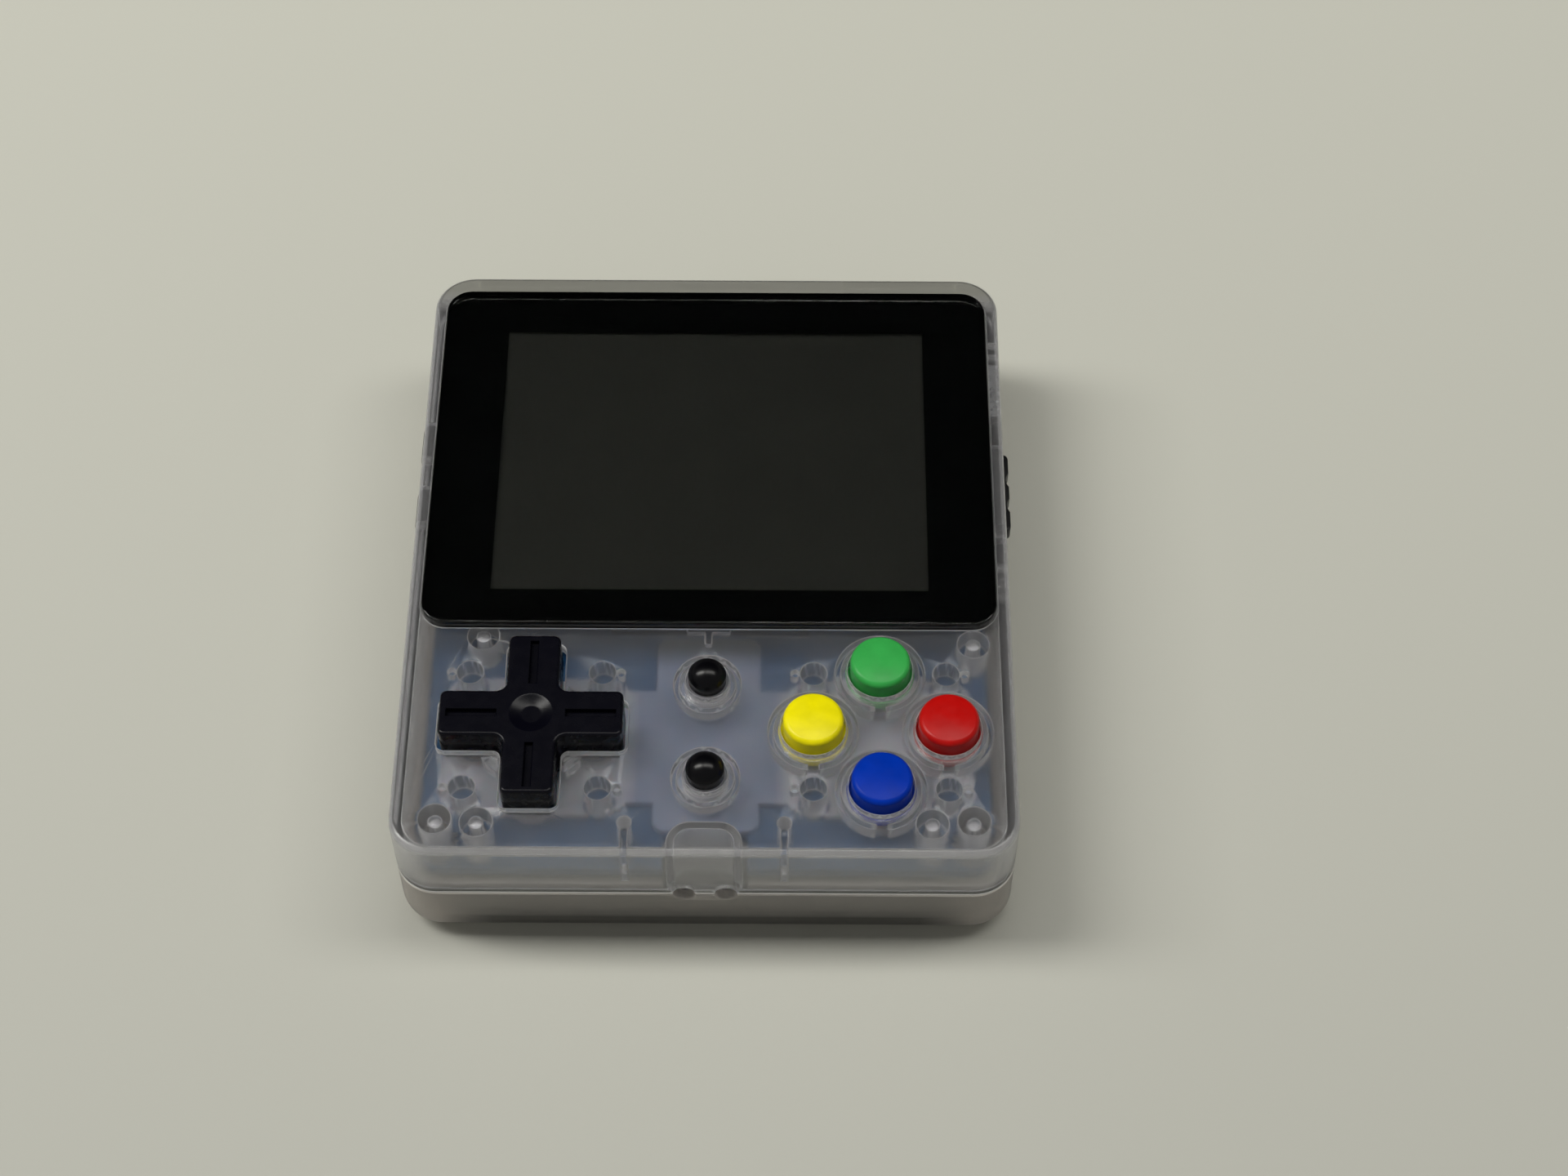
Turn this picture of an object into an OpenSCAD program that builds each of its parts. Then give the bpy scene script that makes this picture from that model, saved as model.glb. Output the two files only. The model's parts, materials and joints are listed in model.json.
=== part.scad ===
// Slab handheld game console with a frosted case, built as separate pieces.
// Frame: +X to the player's right, +Y away from the player, +Z up. The origin is on the
// resting plane, under the middle of the case.

/* [Case] */
// Width of the case
body_w = 72.4; // [70:0.1:78]
// Length of the case, front edge to back edge
body_l = 85.0; // [80:0.5:92]
// Height of the deck above the table
deck_z = 19.6; // [19.2:0.1:21]
// Height of the parting line between the two case halves
split_z = 10.1; // [9.6:0.1:10.3]
// Radius of the case's vertical corners
corner_r = 5.0; // [4:0.1:6]
// Rounding along the deck's edge
deck_edge_r = 0.8; // [0.4:0.1:1]
// Rounding along the base's edge
base_edge_r = 3.5; // [2.5:0.1:3.8]
// Thickness of the side walls
wall = 1.4; // [1.1:0.1:1.5]
// Thickness of the deck
deck_t = 1.6; // [1.4:0.1:1.8]
// Thickness of the base
floor_t = 1.5; // [1.2:0.1:1.8]
// Width of the lip that aligns the halves
lip_t = 0.8; // [0.6:0.1:0.9]
// Height of that lip above the parting line
lip_h = 1.0; // [0.6:0.1:1.2]

/* [Screen] */
// Length of the deck in front of the lens
deck_l = 30.8; // [30.4:0.1:32]
// Rim of the case behind the lens
lens_back_rim = 3.1; // [3.1:0.1:4]
// Rim of the case beside the lens
lens_side_rim = 1.7; // [1.6:0.1:3]
// Thickness of the lens plate
lens_t = 1.5; // [1.2:0.1:1.6]
// How far the lens stands above the deck
lens_proud = 0.9; // [0.7:0.1:1]
// Corner radius of the lens
lens_r = 3.1; // [2:0.1:4]
// Thickness of the adhesive frame under the lens
tape_t = 0.2; // [0.15:0.05:0.25]
// Black border of the lens beside the display's active area
mask_side = 8.1; // [8:0.1:10]
// Black border of the lens in front of that area
mask_front = 5.4; // [5.3:0.1:8]
// Black border of the lens behind that area
mask_back = 5.9; // [5.8:0.1:8]
// Border of the display glass round its active area
glass_border = 2.5; // [2:0.1:2.6]
// Thickness of the display glass
glass_t = 1.2; // [1:0.1:1.4]
// Thickness of the backlight
backlight_t = 1.75; // [1.5:0.05:1.8]

/* [Controls] */
// Distance of the controls' centre line from the front edge
controls_front = 17.1; // [17:0.1:17.4]
// Distance of the direction pad's centre from the case's left side
dpad_side = 15.9; // [15.6:0.1:16.2]
// Span of the direction pad over two opposite arms
dpad_span = 21.4; // [20:0.1:21.6]
// Width of the direction pad's arms
dpad_arm_w = 6.1; // [5.6:0.1:6.4]
// Height of the direction pad above the deck
dpad_h = 2.8; // [2.2:0.1:3.4]
// Tilt of the direction pad each way, in degrees
dpad_tilt = 4; // [2:0.5:4]
// Distance of the action buttons' centre from the case's right side
face_side = 15.8; // [15.6:0.1:16.2]
// Distance of each action button from that centre
face_pitch = 7.9; // [7.7:0.1:8]
// Diameter of the action buttons
face_d = 7.1; // [6.6:0.1:7.2]
// Height of the action buttons above the deck
face_h = 2.3; // [1.8:0.1:2.6]
// Crown of the action buttons' tops
face_crown = 0.45; // [0.2:0.05:0.7]
// Travel of the action buttons
face_travel = 0.9; // [0.5:0.1:0.9]
// Distance between the two menu buttons
menu_pitch = 12.7; // [12:0.1:13]
// Diameter of the menu buttons
menu_d = 4.5; // [4:0.1:4.8]
// Height of the menu buttons above the deck
menu_h = 2.6; // [2.2:0.1:3]
// How far a button's flange reaches past its cap
flange_reach = 0.55; // [0.5:0.05:0.7]
// Gap between a control and its hole
button_gap = 0.3; // [0.2:0.05:0.35]
// Gap between a control's flange and the collar or deck round it
flange_gap = 0.15; // [0.1:0.05:0.2]

/* [Board] */
// Height of the main board's upper face
board_z = 13.4; // [13.2:0.05:13.6]
// Thickness of the main board
board_t = 1.6; // [1.2:0.1:1.6]
// Gap between the board and the side walls
board_gap = 1.4; // [1.2:0.1:1.8]
// Diameter of the screw bosses under the deck
boss_d = 3.75; // [3.4:0.05:4]
// Pilot hole in those bosses
pilot_d = 1.75; // [1.7:0.05:1.9]
// Diameter of the screws' shanks
shank_d = 1.6; // [1.4:0.05:1.65]
// Diameter of the screws' heads
head_d = 3.6; // [3.2:0.1:3.8]
// Thickness of the silicone button sheet
sheet_t = 0.8; // [0.6:0.05:0.9]

/* [Sides] */
// Length of the power slider's ridged knob
slider_l = 11.6; // [11:0.1:13]
// How far that knob stands out of the right side
slider_proud = 0.8; // [0.8:0.1:1.6]
// Travel of the power slider
slider_travel = 2.0; // [1.5:0.1:2.2]
// Height of the middle of the side controls
side_z = 15.0; // [14.9:0.05:15.1]
// Length of each volume key
key_l = 4.8; // [4:0.1:5.2]
// Distance between the two volume keys
key_pitch = 9.9; // [9:0.1:10]
// Width of each shoulder button
shoulder_w = 14.5; // [12:0.1:15]
// How far the shoulder buttons stand out of the back
shoulder_proud = 1.0; // [0.6:0.1:1.4]
// Radius of the headphone socket's bore
jack_r = 1.8; // [1.77:0.01:1.85]

/* [Battery] */
// Wall between the battery bay and the screw bosses
boss_wall = 1.35; // [1.2:0.05:3]
// Length of the battery pack, along the case
battery_l = 34.2; // [33:0.1:34.4]
// Thickness of the battery pack
battery_t = 5.7; // [5:0.1:5.8]
// Travel of the battery door before it lifts off
door_travel = 5.0; // [3:0.5:6]

/* [Hidden] */
$fn = 64;

eps = 0.01;            // overrun of a cut past the face it opens
snug = 0.05;           // gap where one fixed piece is seated on another
slide_gap = 0.3;       // gap round a piece that slides in a wall
wall_cut = 3;          // reach of an opening's cut, each way from the wall's outer face
far = 30;              // longer than any cut needs to be
front_y = -body_l / 2;
back_y = body_l / 2;
side_x = body_w / 2;
in_w = body_w - 2 * wall;
in_l = body_l - 2 * wall;
in_r = corner_r - wall;
inner_edge_r = min(base_edge_r - floor_t, in_r - 0.5);
under_deck = deck_z - deck_t;
lip_gap = 0.15;
lip_root = 1.8;        // depth of the lip's root, below the parting line

// Screen stack, from the lens down
lens_w = body_w - 2 * lens_side_rim;
lens_l = body_l - deck_l - lens_back_rim;
lens_y = back_y - lens_back_rim - lens_l / 2;
lens_front = lens_y - lens_l / 2;
lens_top = deck_z + lens_proud;
lens_bottom = lens_top - lens_t;
lens_gap = 0.15;
lens_edge_r = 0.25;
ledge_z = lens_bottom - tape_t;
tape_inset = 0.4;
active_w = lens_w - 2 * mask_side;
active_l = lens_l - mask_front - mask_back;
active_y = lens_front + mask_front + active_l / 2;
glass_side = 0.2;      // further border of the glass at each side
glass_w = active_w + 2 * (glass_border + glass_side);
glass_l = active_l + 2 * glass_border;
glass_front = active_y - glass_l / 2;
glass_top = ledge_z - 0.15;
glass_bottom = glass_top - glass_t;
backlight_bottom = glass_bottom - backlight_t;
tray_depth = 0.3;
tray_rim = 0.5;
window_gap = 0.4;
window_r = 0.8;
pad_x = [-19.5, 17.5];
pad_w = 5;
pad_l = 25;
pad_y = active_y + 3.5;

// Controls
ctrl_y = front_y + controls_front;
dpad_pos = [dpad_side - side_x, ctrl_y];
face_pos = [side_x - face_side, ctrl_y];
green_pos = face_pos + [0, face_pitch];
yellow_pos = face_pos - [face_pitch, 0];
red_pos = face_pos + [face_pitch, 0];
blue_pos = face_pos - [0, face_pitch];
face_places = [green_pos, yellow_pos, red_pos, blue_pos];
start_pos = [0, ctrl_y + menu_pitch / 2];
select_pos = [0, ctrl_y - menu_pitch / 2];
menu_places = [start_pos, select_pos];
flange_top = under_deck - flange_gap;
face_flange_d = face_d + 2 * flange_reach;
face_flange_t = 1.1;
face_edge_r = 0.7;     // rounding of an action button's top edge
menu_flange_d = menu_d + 2 * flange_reach;
menu_flange_t = 0.9;
menu_dome_h = 1.5;
menu_travel = 0.8;
collar_gap = 0.6;
collar_t = 0.6;
face_collar_h = 2.2;
menu_collar_h = 1.8;
collar_notch_w = 1.4;  // notch at the front of an action button's collar
key_slack = 0.15;      // air left under a rubber key at full travel
face_key_d = 4.8;
menu_key_d = 3.4;
face_key_bottom = board_z + face_travel + key_slack;
menu_key_bottom = board_z + menu_travel + key_slack;
pin_reach = 10.05;     // small locating pins beside each cluster
pin_d = 0.95;
pin_h = 1.2;
post_reach = 7.85;     // posts that hold the silicone sheet down
post_d = 3.1;

// Direction pad
dpad_bottom = under_deck - 1.4;
dpad_top = deck_z + dpad_h;
dpad_end_r = 0.8;
dpad_edge_r = 0.4;
dpad_inner_r = 1.2;
dpad_flange_r = 5.6;
dpad_flange_t = 0.75;
dpad_pivot_r = 1.2;
dpad_pivot_z = dpad_bottom - dpad_pivot_r / 3;
dpad_gap = (deck_z - dpad_pivot_z) * sin(dpad_tilt) + 0.2;
dpad_collar_gap = 0.6;
dpad_collar_t = 0.8;
dpad_arm_gap = 0.9;    // between an arm and the collar it passes through
dpad_key_d = 4.0;
dpad_key_reach = 6.9;
dpad_key_gap = 0.25;   // air between an end key and the arm above it
dpad_key_bottom = board_z + (dpad_key_reach + dpad_key_d / 2) * sin(dpad_tilt) + key_slack;
dish_d = 5.2;
dish_depth = 0.6;
arrow_in = 4.0;        // grooves along the arms, from the middle of the pad
arrow_out = 9.9;
arrow_w = 1.0;
arrow_depth = 0.8;

// Silicone sheet
sheet_top = board_z + sheet_t;
ring_top = sheet_top + 1.1;
dpad_ring_top = ring_top - 0.5;
face_ring_w = 1.3;     // wall of a ring, its gap to the key included
menu_ring_w = 1.2;
ring_gap = 0.4;        // between a key and the ring round it
dpad_ring_gap = 0.5;
lobe_w = 21.6;
lobe_l = 18.8;
lobe_r = 2.4;
web_l = 15.4;
menu_lobe_w = 12.4;
menu_lobe_r = 1.4;
post_gap = 0.35;
pivot_post_d = 4.4;

// Board, screws and bosses
board_bottom = board_z - board_t;
board_w = in_w - 2 * board_gap;
board_front = front_y + wall + 0.9;
board_back = back_y - wall - 1.9;
board_l = board_back - board_front;
board_y = (board_front + board_back) / 2;
board_r = 2.5;
case_boss_in = [5.2, 5.1]; // from the case's side and from its end
case_boss = [side_x, back_y] - case_boss_in;
case_boss_z = board_bottom - 0.4;
board_boss_in = [10, 4.7]; // the front pair, from the side and from the front
left_boss_in = 9.3;        // the other three, from the side
right_boss_in = 4.6;
back_boss_in = 4.7;
mid_boss_in = [0.7, 1.6];  // the two beside the lens's front edge, from that edge
back_boss_from = 15.5;     // from the back
board_bosses = [[board_boss_in[0] - side_x, front_y + board_boss_in[1]],
    [side_x - board_boss_in[0], front_y + board_boss_in[1]],
    [left_boss_in - side_x, lens_front - mid_boss_in[0]],
    [side_x - right_boss_in, lens_front - mid_boss_in[1]],
    [back_boss_in - side_x, back_y - back_boss_from]];
boss_hole_gap = 0.45;  // between a case boss and the board
board_hole_d = 2.2;
rear_boss_d = 5.0;
screw_hole_d = 2.2;
screw_seat = 6.0;
case_screw_l = 10;
board_screw_l = 5.2;
tip_gap = 0.7;
head_t = 1.3;
head_gap = 0.3;
cross_l = 2;           // cross recess in a screw's head
cross_w = 0.5;
cross_depth = 0.8;

// Lanyard anchor and guide pins at the front
anchor_w = 8.6;
anchor_t = 0.8;
anchor_y = front_y + 4.8;
anchor_r = 2.7;
anchor_gap = 0.6;
strap_r = 1.28;
strap_x = 2.45;
guide_x = 9.2;
guide_y = front_y + 4.7;
guide_d = 1.6;
rib_t = 0.75;
rib_bottom = split_z + 2.2;
rib_gap = 0.3;
menu_lobe_front = anchor_y + anchor_gap + 0.3;
menu_lobe_back = glass_front - 1.5;

// Stiffener in front of the lens
brace_w = 5.2;
brace_y = lens_front + 0.4;
brace_t = 0.7;
brace_stem_w = 0.8;
brace_stem_l = 2.1;
brace_h = 1.0;

// Sockets on the right side
jack_z = board_z - 0.2;
jack_w = 8.5;
jack_h = 4.6;
jack_l = 13.3;
jack_nose_r = 2.5;
jack_nose_gap = 0.25;
jack_body_x = side_x - wall - 0.2 - jack_l;
jack_mouth_x = side_x - 0.2;
jack_bore_l = 13.4;
jack_gap = 0.3;
usb_w = 7.6;
usb_h = 2.7;
usb_depth = 5.6;
usb_mouth_x = side_x - 0.4;
usb_wall = 0.35;
usb_tongue_w = 4.4;
usb_tongue_z = [board_z + 1.4, board_z + 2.0];
led_l = 4.0;
led_depth = 3;
led_pitch = 2.0;
led_hole_r = 0.6;

// The pieces on the right side lie in the room between two bosses. Each share is the
// part of the spare room that comes in front of a piece.
slider_room = slider_l + slider_travel + 2 * slide_gap;
right_start = lens_front - 1.6 + boss_d / 2;
spare = case_boss[1] - boss_d / 2 - right_start - jack_w - slider_room - usb_w - led_l;
jack_share = 0.357;
slider_share = 0.103;
usb_share = 0.379;
led_share = 0.079;
jack_y = right_start + jack_share * spare + jack_w / 2;
slider_start = jack_y + jack_w / 2 + slider_share * spare;
slider_y = slider_start + slide_gap + slider_travel + slider_l / 2;
usb_y = slider_start + slider_room + usb_share * spare + usb_w / 2;
led_y = usb_y + usb_w / 2 + led_share * spare + led_l / 2;

// Power slider and its switch
slider_h = 2.1;
plate_gap = 0.3;       // between a wall's inner face and the plate behind it
plate_t = 0.6;
slider_plate_x = side_x - wall - plate_gap;
slider_plate_l = slider_l + 1.2;
slider_plate_h = slider_h + 1.8;
ridges = 3;
hollow_r = 1.75;       // finger hollows between the slider's ridges
hollow_out = 1.4;      // distance of a hollow's centre from the knob's face
knob_end_r = 0.7;
lever_l = 1.4;
lever_w = 1.5;
lever_z = [board_z + 0.75, board_z + 1.55];
lever_gap = 0.3;
switch_depth = 3.4;
switch_l = 8.6;
switch_y = slider_y - 1.0;
switch_h = 2.1;

// Volume keys and their switches
key_from = 30.0;       // from the back
key_y = back_y - key_from;
key_h = 2.4;
key_travel = 0.35;
key_proud = 0.5;
key_plate_x = side_x - wall - plate_gap;
key_plate_rim = 0.8;
key_plate_lip = 0.6;
plunger_l = 0.4;
plunger_r = 0.8;
plunger_z = board_z + 0.9;
tact_gap = 0.1;        // air left in front of a tact switch at full travel
key_tact = [3.1, 4.6, 1.75];

// Shoulder buttons and their switches
shoulder_in = 12.6;
shoulder_x = side_x - shoulder_in;
shoulder_h = 4.4;
shoulder_z = 15.2;
shoulder_travel = 0.6;
shoulder_plate_y = back_y - wall - plate_gap;
shoulder_rim = 0.9;
shoulder_plate_z = [shoulder_z - shoulder_h / 2 - 0.6, shoulder_z + shoulder_h / 2 + 0.35];
shoulder_plunger_r = 0.9;
shoulder_tact = [6, 2.9, 1.85];

// Card slot at the back
card_w = 11;
card_t = 0.8;
card_l = 15;
card_z = board_z + 0.35;
card_in = 0.3;         // depth of the card's outer end inside the case's back face
card_r = 0.6;
card_gap = 0.2;
card_grip_w = 0.7;
card_grip_y = 1.6;
slot_w = 14;
slot_l = 14.4;
slot_h = 1.9;
slot_mouth_y = back_y - wall - plate_gap;
slot_back = 0.6;       // wall at the slot's inner end

// Battery bay and door
bay_gap = 0.4;
bay_w = 2 * (case_boss[0] - rear_boss_d / 2 - boss_wall);
battery_w = bay_w - 2 * bay_gap;
bay_l = battery_l + 2 * bay_gap;
bay_y = back_y - 4.9 - bay_l / 2;
bay_front = bay_y - bay_l / 2;
bay_back = bay_y + bay_l / 2;
bay_wall = 1.2;
bay_side = 2.6;
bay_roof = 1.0;
door_base = 0.15;
door_t = 1.5;
door_top = door_base + door_t;
door_w = bay_w;
door_front = bay_front - 1.3;
door_gap = 0.1;        // between the door's upper face and the case
skirt_top = base_edge_r - 0.1;
tongue_z = 0.8;
tongue_w = 1.3;
tongue_gap = 0.15;
tongue_l = door_travel - 0.6;
tongues = 3;
tongue_pitch = 12;
tongue_first = door_front + 3;
groove_l = tongue_first - door_front + (tongues - 1) * tongue_pitch + tongue_l + door_travel;
grip_w = 18;           // grooves for the thumb
grip_pitch = 1.6;
grip_groove = 0.8;
grip_depth = 0.4;
grips = 5;
grip_in = 10;          // middle of the last one, from the back
grip_y = back_y - grip_in + grip_groove / 2;
battery_z = door_top + 0.3;
battery_r = 1.2;
bay_top = battery_z + battery_t + 0.6;

// Battery contacts
contact_w = 10.2;
contact_x = bay_w / 2 + 0.75;
contact_l = 4.4;
contact_z = 3.0;
contact_gap = 0.6;
spring_w = 1.6;
spring_pitch = 3;
spring_z = [battery_z + 2.2, battery_z + 3.8];
spring_gap = 0.1;

// Speaker
speaker_y = ctrl_y + 5.4;
speaker_d = 20;
speaker_rim_h = 2.7;
speaker_h = 4.2;
magnet_d = 12.4;
speaker_ring_t = 1.3;
speaker_ring_h = 3.0;
speaker_gap = 0.25;
grille_pitch = 3.0;
grille_d = 1.6;
grille_rings = 2;

// Parts under the board
processor_size = [14, 14, 1.1];
processor_at = [-6, bay_y];
memory_size = [11, 9, 1.0];
memory_in = [12, 4];       // from the middle of the case and of the battery
memory_at = [memory_in[0], bay_y + memory_in[1]];
crystal_size = [5, 3.2, 0.9];
crystal_in = [-20, 8];
crystal_at = [crystal_in[0], bay_y + crystal_in[1]];
amplifier_size = [5, 4, 1.1];
amplifier_x = 8;
amplifier_at = [amplifier_x, ctrl_y];
inductor_size = [6, 6, 2.8];
inductor_in = [-18, 8];    // from the middle of the controls, as below
inductor_at = [inductor_in[0], ctrl_y + inductor_in[1]];
capacitor_d = 4;
capacitor_h = 2.6;
capacitor_in = [[-10, 8], [-14, 1], [16, 7], [22, 4]];
capacitor_at = [for (p = capacitor_in) [p[0], ctrl_y + p[1]]];

// Ribbon folded back under the display's front edge, and its connector
flex_w = 24;
flex_t = 0.15;
flex_r = (backlight_bottom - board_z) / 2 - 0.15;
flex_top_l = 6;
flex_tail_l = 2.6;
connector_w = flex_w + 3;
connector_l = 3.5;
connector_h = 1.3;

// ---- Shapes shared by several pieces ----

module rounded_rect(w, l, r) {
    square([w - 2 * r, l], center = true);
    square([w, l - 2 * r], center = true);
    for (x = [-1, 1], y = [-1, 1])
        translate([x * (w / 2 - r), y * (l / 2 - r)]) circle(r);
}

module plate(w, l, h, r) {
    linear_extrude(h) rounded_rect(w, l, r);
}

// Right-hand edge of a slab, with its upper or its lower edge rounded
module edge_profile(r, h, e, below) {
    translate([0, below ? e : 0]) square([r, h - e]);
    square([r - e, h]);
    intersection() {
        translate([r - e, below ? e : h - e]) circle(e);
        translate([r - e, 0]) square([e, h]);
    }
}

// Slab with vertical corners of radius r, its upper or its lower edge rounded by e
module soft_slab(w, l, h, r, e, below = false) {
    translate([-w / 2 + r, -l / 2 + r, 0]) cube([w - 2 * r, l - 2 * r, h]);
    for (k = [0:3])
        rotate(90 * k) {
            across = k % 2 == 0 ? w : l;
            along = k % 2 == 0 ? l : w;
            translate([across / 2 - r, along / 2 - r, 0]) rotate([90, 0, 0])
                linear_extrude(along - 2 * r) edge_profile(r, h, e, below);
            translate([across / 2 - r, along / 2 - r, 0])
                rotate_extrude(angle = 90) edge_profile(r, h, e, below);
        }
}

module box(x, y, z) {
    translate([x[0], y[0], z[0]]) cube([x[1] - x[0], y[1] - y[0], z[1] - z[0]]);
}

// The two ends of a length centred on a place
function span(middle, length) = [middle - length / 2, middle + length / 2];

function from(start, offsets) = [for (v = offsets) start + v];

module tube_x(r, x, y, z) {
    translate([x[0], y, z]) rotate([0, 90, 0]) cylinder(r = r, h = x[1] - x[0]);
}

module post(p, d, z0, z1) {
    translate([p[0], p[1], z0]) cylinder(d = d, h = z1 - z0);
}

module at(p) {
    translate([p[0], p[1], 0]) children();
}

// Four places round a point
module at_corners(p, reach_x, reach_y) {
    for (x = [-1, 1], y = [-1, 1]) at(p + [x * reach_x, y * reach_y]) children();
}

module at_arms(p) {
    for (k = [0:3]) at(p) rotate(90 * k) translate([dpad_key_reach, 0, 0]) children();
}

module case_corners() {
    at_corners([0, 0], case_boss[0], case_boss[1]) children();
}

module rotate_about(p, a) {
    translate([p[0], p[1], 0]) rotate(a) translate([-p[0], -p[1], 0]) children();
}

// Opening through the wall on side s: 1 is the right-hand side, -1 the left
module side_opening(s, y, z) {
    box(span(s * side_x, 2 * wall_cut), y, z);
}

module back_opening(x, z) {
    box(x, span(back_y, 2 * wall_cut), z);
}

// Space for the display, through the deck and the adhesive frame
module display_window(z0) {
    translate([0, active_y, z0])
        plate(glass_w + 2 * window_gap, glass_l + 2 * window_gap, far, window_r);
}

// ---- Case ----

module base_body(inset) {
    translate([0, 0, inset])
        soft_slab(body_w - 2 * inset, body_l - 2 * inset, split_z - inset,
            corner_r - inset, base_edge_r - inset, below = true);
}

// Cross with rounded ends and rounded inner corners
module cross_2d(length, arm, end_r, inner_r) {
    rounded_rect(length, arm, end_r);
    rounded_rect(arm, length, end_r);
    for (k = [0:3])
        rotate(90 * k) translate([arm / 2, arm / 2]) difference() {
            square(inner_r);
            translate([inner_r, inner_r]) circle(inner_r);
        }
}

module collar(inner, t, h) {
    translate([0, 0, under_deck - h]) difference() {
        cylinder(r = inner + t, h = h + snug);
        translate([0, 0, -eps]) cylinder(r = inner, h = h + 2 * snug);
    }
}

module face_collar() {
    inner = face_flange_d / 2 + collar_gap;
    difference() {
        collar(inner, collar_t, face_collar_h);
        box(span(0, collar_notch_w), [-far, -inner + collar_gap],
            [under_deck - face_collar_h - eps, under_deck]);
    }
}

module dpad_collar() {
    difference() {
        collar(dpad_flange_r + dpad_collar_gap, dpad_collar_t, menu_collar_h);
        for (a = [0, 90]) rotate(a)
            box(span(0, far), span(0, dpad_arm_w + 2 * dpad_arm_gap),
                [under_deck - menu_collar_h - eps, under_deck]);
    }
}

// Wall of the lanyard anchor, open towards the front wall
module anchor_wall() {
    l = 2 * (anchor_y - front_y);
    h = under_deck - split_z;
    intersection() {
        translate([0, anchor_y - l / 2, split_z]) difference() {
            plate(anchor_w, l, h + snug, anchor_r);
            translate([0, 0, -eps])
                plate(anchor_w - 2 * anchor_t, l - 2 * anchor_t, h + eps, anchor_r - anchor_t);
        }
        box(span(0, far), [front_y + wall - snug, anchor_y], [0, far]);
    }
}

// Pin and rib that guide the button sheet, at the front wall
module guide(x) {
    post([x, guide_y], guide_d, board_z + snug, under_deck + snug);
    box(span(x, rib_t), [front_y + wall - snug, guide_y], [board_z + snug, under_deck + snug]);
    box(span(x, rib_t), [front_y + wall - snug, board_front - rib_gap],
        [rib_bottom, under_deck + snug]);
}

module brace() {
    z = [under_deck - brace_h, under_deck + snug];
    box(span(0, brace_w), span(brace_y, brace_t), z);
    box(span(0, brace_stem_w), [brace_y - brace_stem_l, brace_y], z);
}

module front_shell() {
    color([0.78, 0.78, 0.82, 0.5]) difference() {
        union() {
            difference() {
                translate([0, 0, split_z])
                    soft_slab(body_w, body_l, deck_z - split_z, corner_r, deck_edge_r);
                translate([0, 0, split_z - eps])
                    plate(in_w, in_l, under_deck - split_z + eps, in_r);
            }
            for (p = face_places) at(p) face_collar();
            for (p = menu_places) at(p)
                collar(menu_flange_d / 2 + collar_gap, collar_t, menu_collar_h);
            at(dpad_pos) dpad_collar();
            for (p = [dpad_pos, face_pos]) {
                at_corners(p, post_reach, post_reach)
                    post([0, 0], post_d, board_z + snug, under_deck + snug);
                at_corners(p, pin_reach, post_reach)
                    post([0, 0], pin_d, under_deck - pin_h, under_deck + snug);
            }
            case_corners() post([0, 0], boss_d, case_boss_z, under_deck + snug);
            for (p = board_bosses) post(p, boss_d, board_z + snug, under_deck + snug);
            for (x = [-1, 1]) guide(x * guide_x);
            brace();
            anchor_wall();
        }
        // Lens recess and display window
        translate([0, lens_y, ledge_z])
            plate(lens_w + 2 * lens_gap, lens_l + 2 * lens_gap, far, lens_r + lens_gap);
        display_window(under_deck - 1);
        // Holes for the controls
        for (p = face_places) post(p, face_d + 2 * button_gap, under_deck - eps, far);
        for (p = menu_places) post(p, menu_d + 2 * button_gap, under_deck - eps, far);
        translate([dpad_pos[0], dpad_pos[1], under_deck - eps]) linear_extrude(far)
            cross_2d(dpad_span + 2 * dpad_gap, dpad_arm_w + 2 * dpad_gap,
                dpad_end_r + dpad_gap / 2, dpad_inner_r - dpad_gap / 2);
        // Pilot holes for the screws
        case_corners() post([0, 0], pilot_d, case_boss_z - eps, screw_seat + case_screw_l + tip_gap);
        for (p = board_bosses)
            post(p, pilot_d, board_z, board_bottom + board_screw_l + tip_gap);
        // Side openings
        side_opening(1, [slider_y - slider_l / 2 - slider_travel - slide_gap,
            slider_y + slider_l / 2 + slide_gap], span(side_z, slider_h + 2 * slide_gap));
        for (s = [-0.5, 0.5])
            side_opening(-1, span(key_y + s * key_pitch, key_l + 2 * slide_gap),
                span(side_z, key_h + 2 * slide_gap));
        for (s = [-1, 1])
            back_opening(span(s * shoulder_x, shoulder_w + 2 * slide_gap),
                span(shoulder_z, shoulder_h + 2 * slide_gap));
        tube_x(jack_nose_r + jack_nose_gap, span(side_x, 2 * wall_cut), jack_y, jack_z);
        side_opening(1, span(usb_y, usb_w + 2 * slide_gap),
            [board_z - slide_gap, board_z + usb_h + slide_gap]);
        back_opening(span(0, card_w + 2 * slide_gap),
            [card_z - slide_gap, card_z + card_t + slide_gap]);
        for (s = [-0.5, 0.5])
            tube_x(led_hole_r, span(side_x, 2 * wall_cut), led_y + s * led_pitch, side_z);
        strap_holes();
    }
}

// Half of each strap hole lies in each case half
module strap_holes() {
    for (s = [-1, 1])
        translate([s * strap_x, front_y - eps, split_z]) rotate([-90, 0, 0])
            cylinder(r = strap_r, h = wall + lip_t + 1);
}

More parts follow.
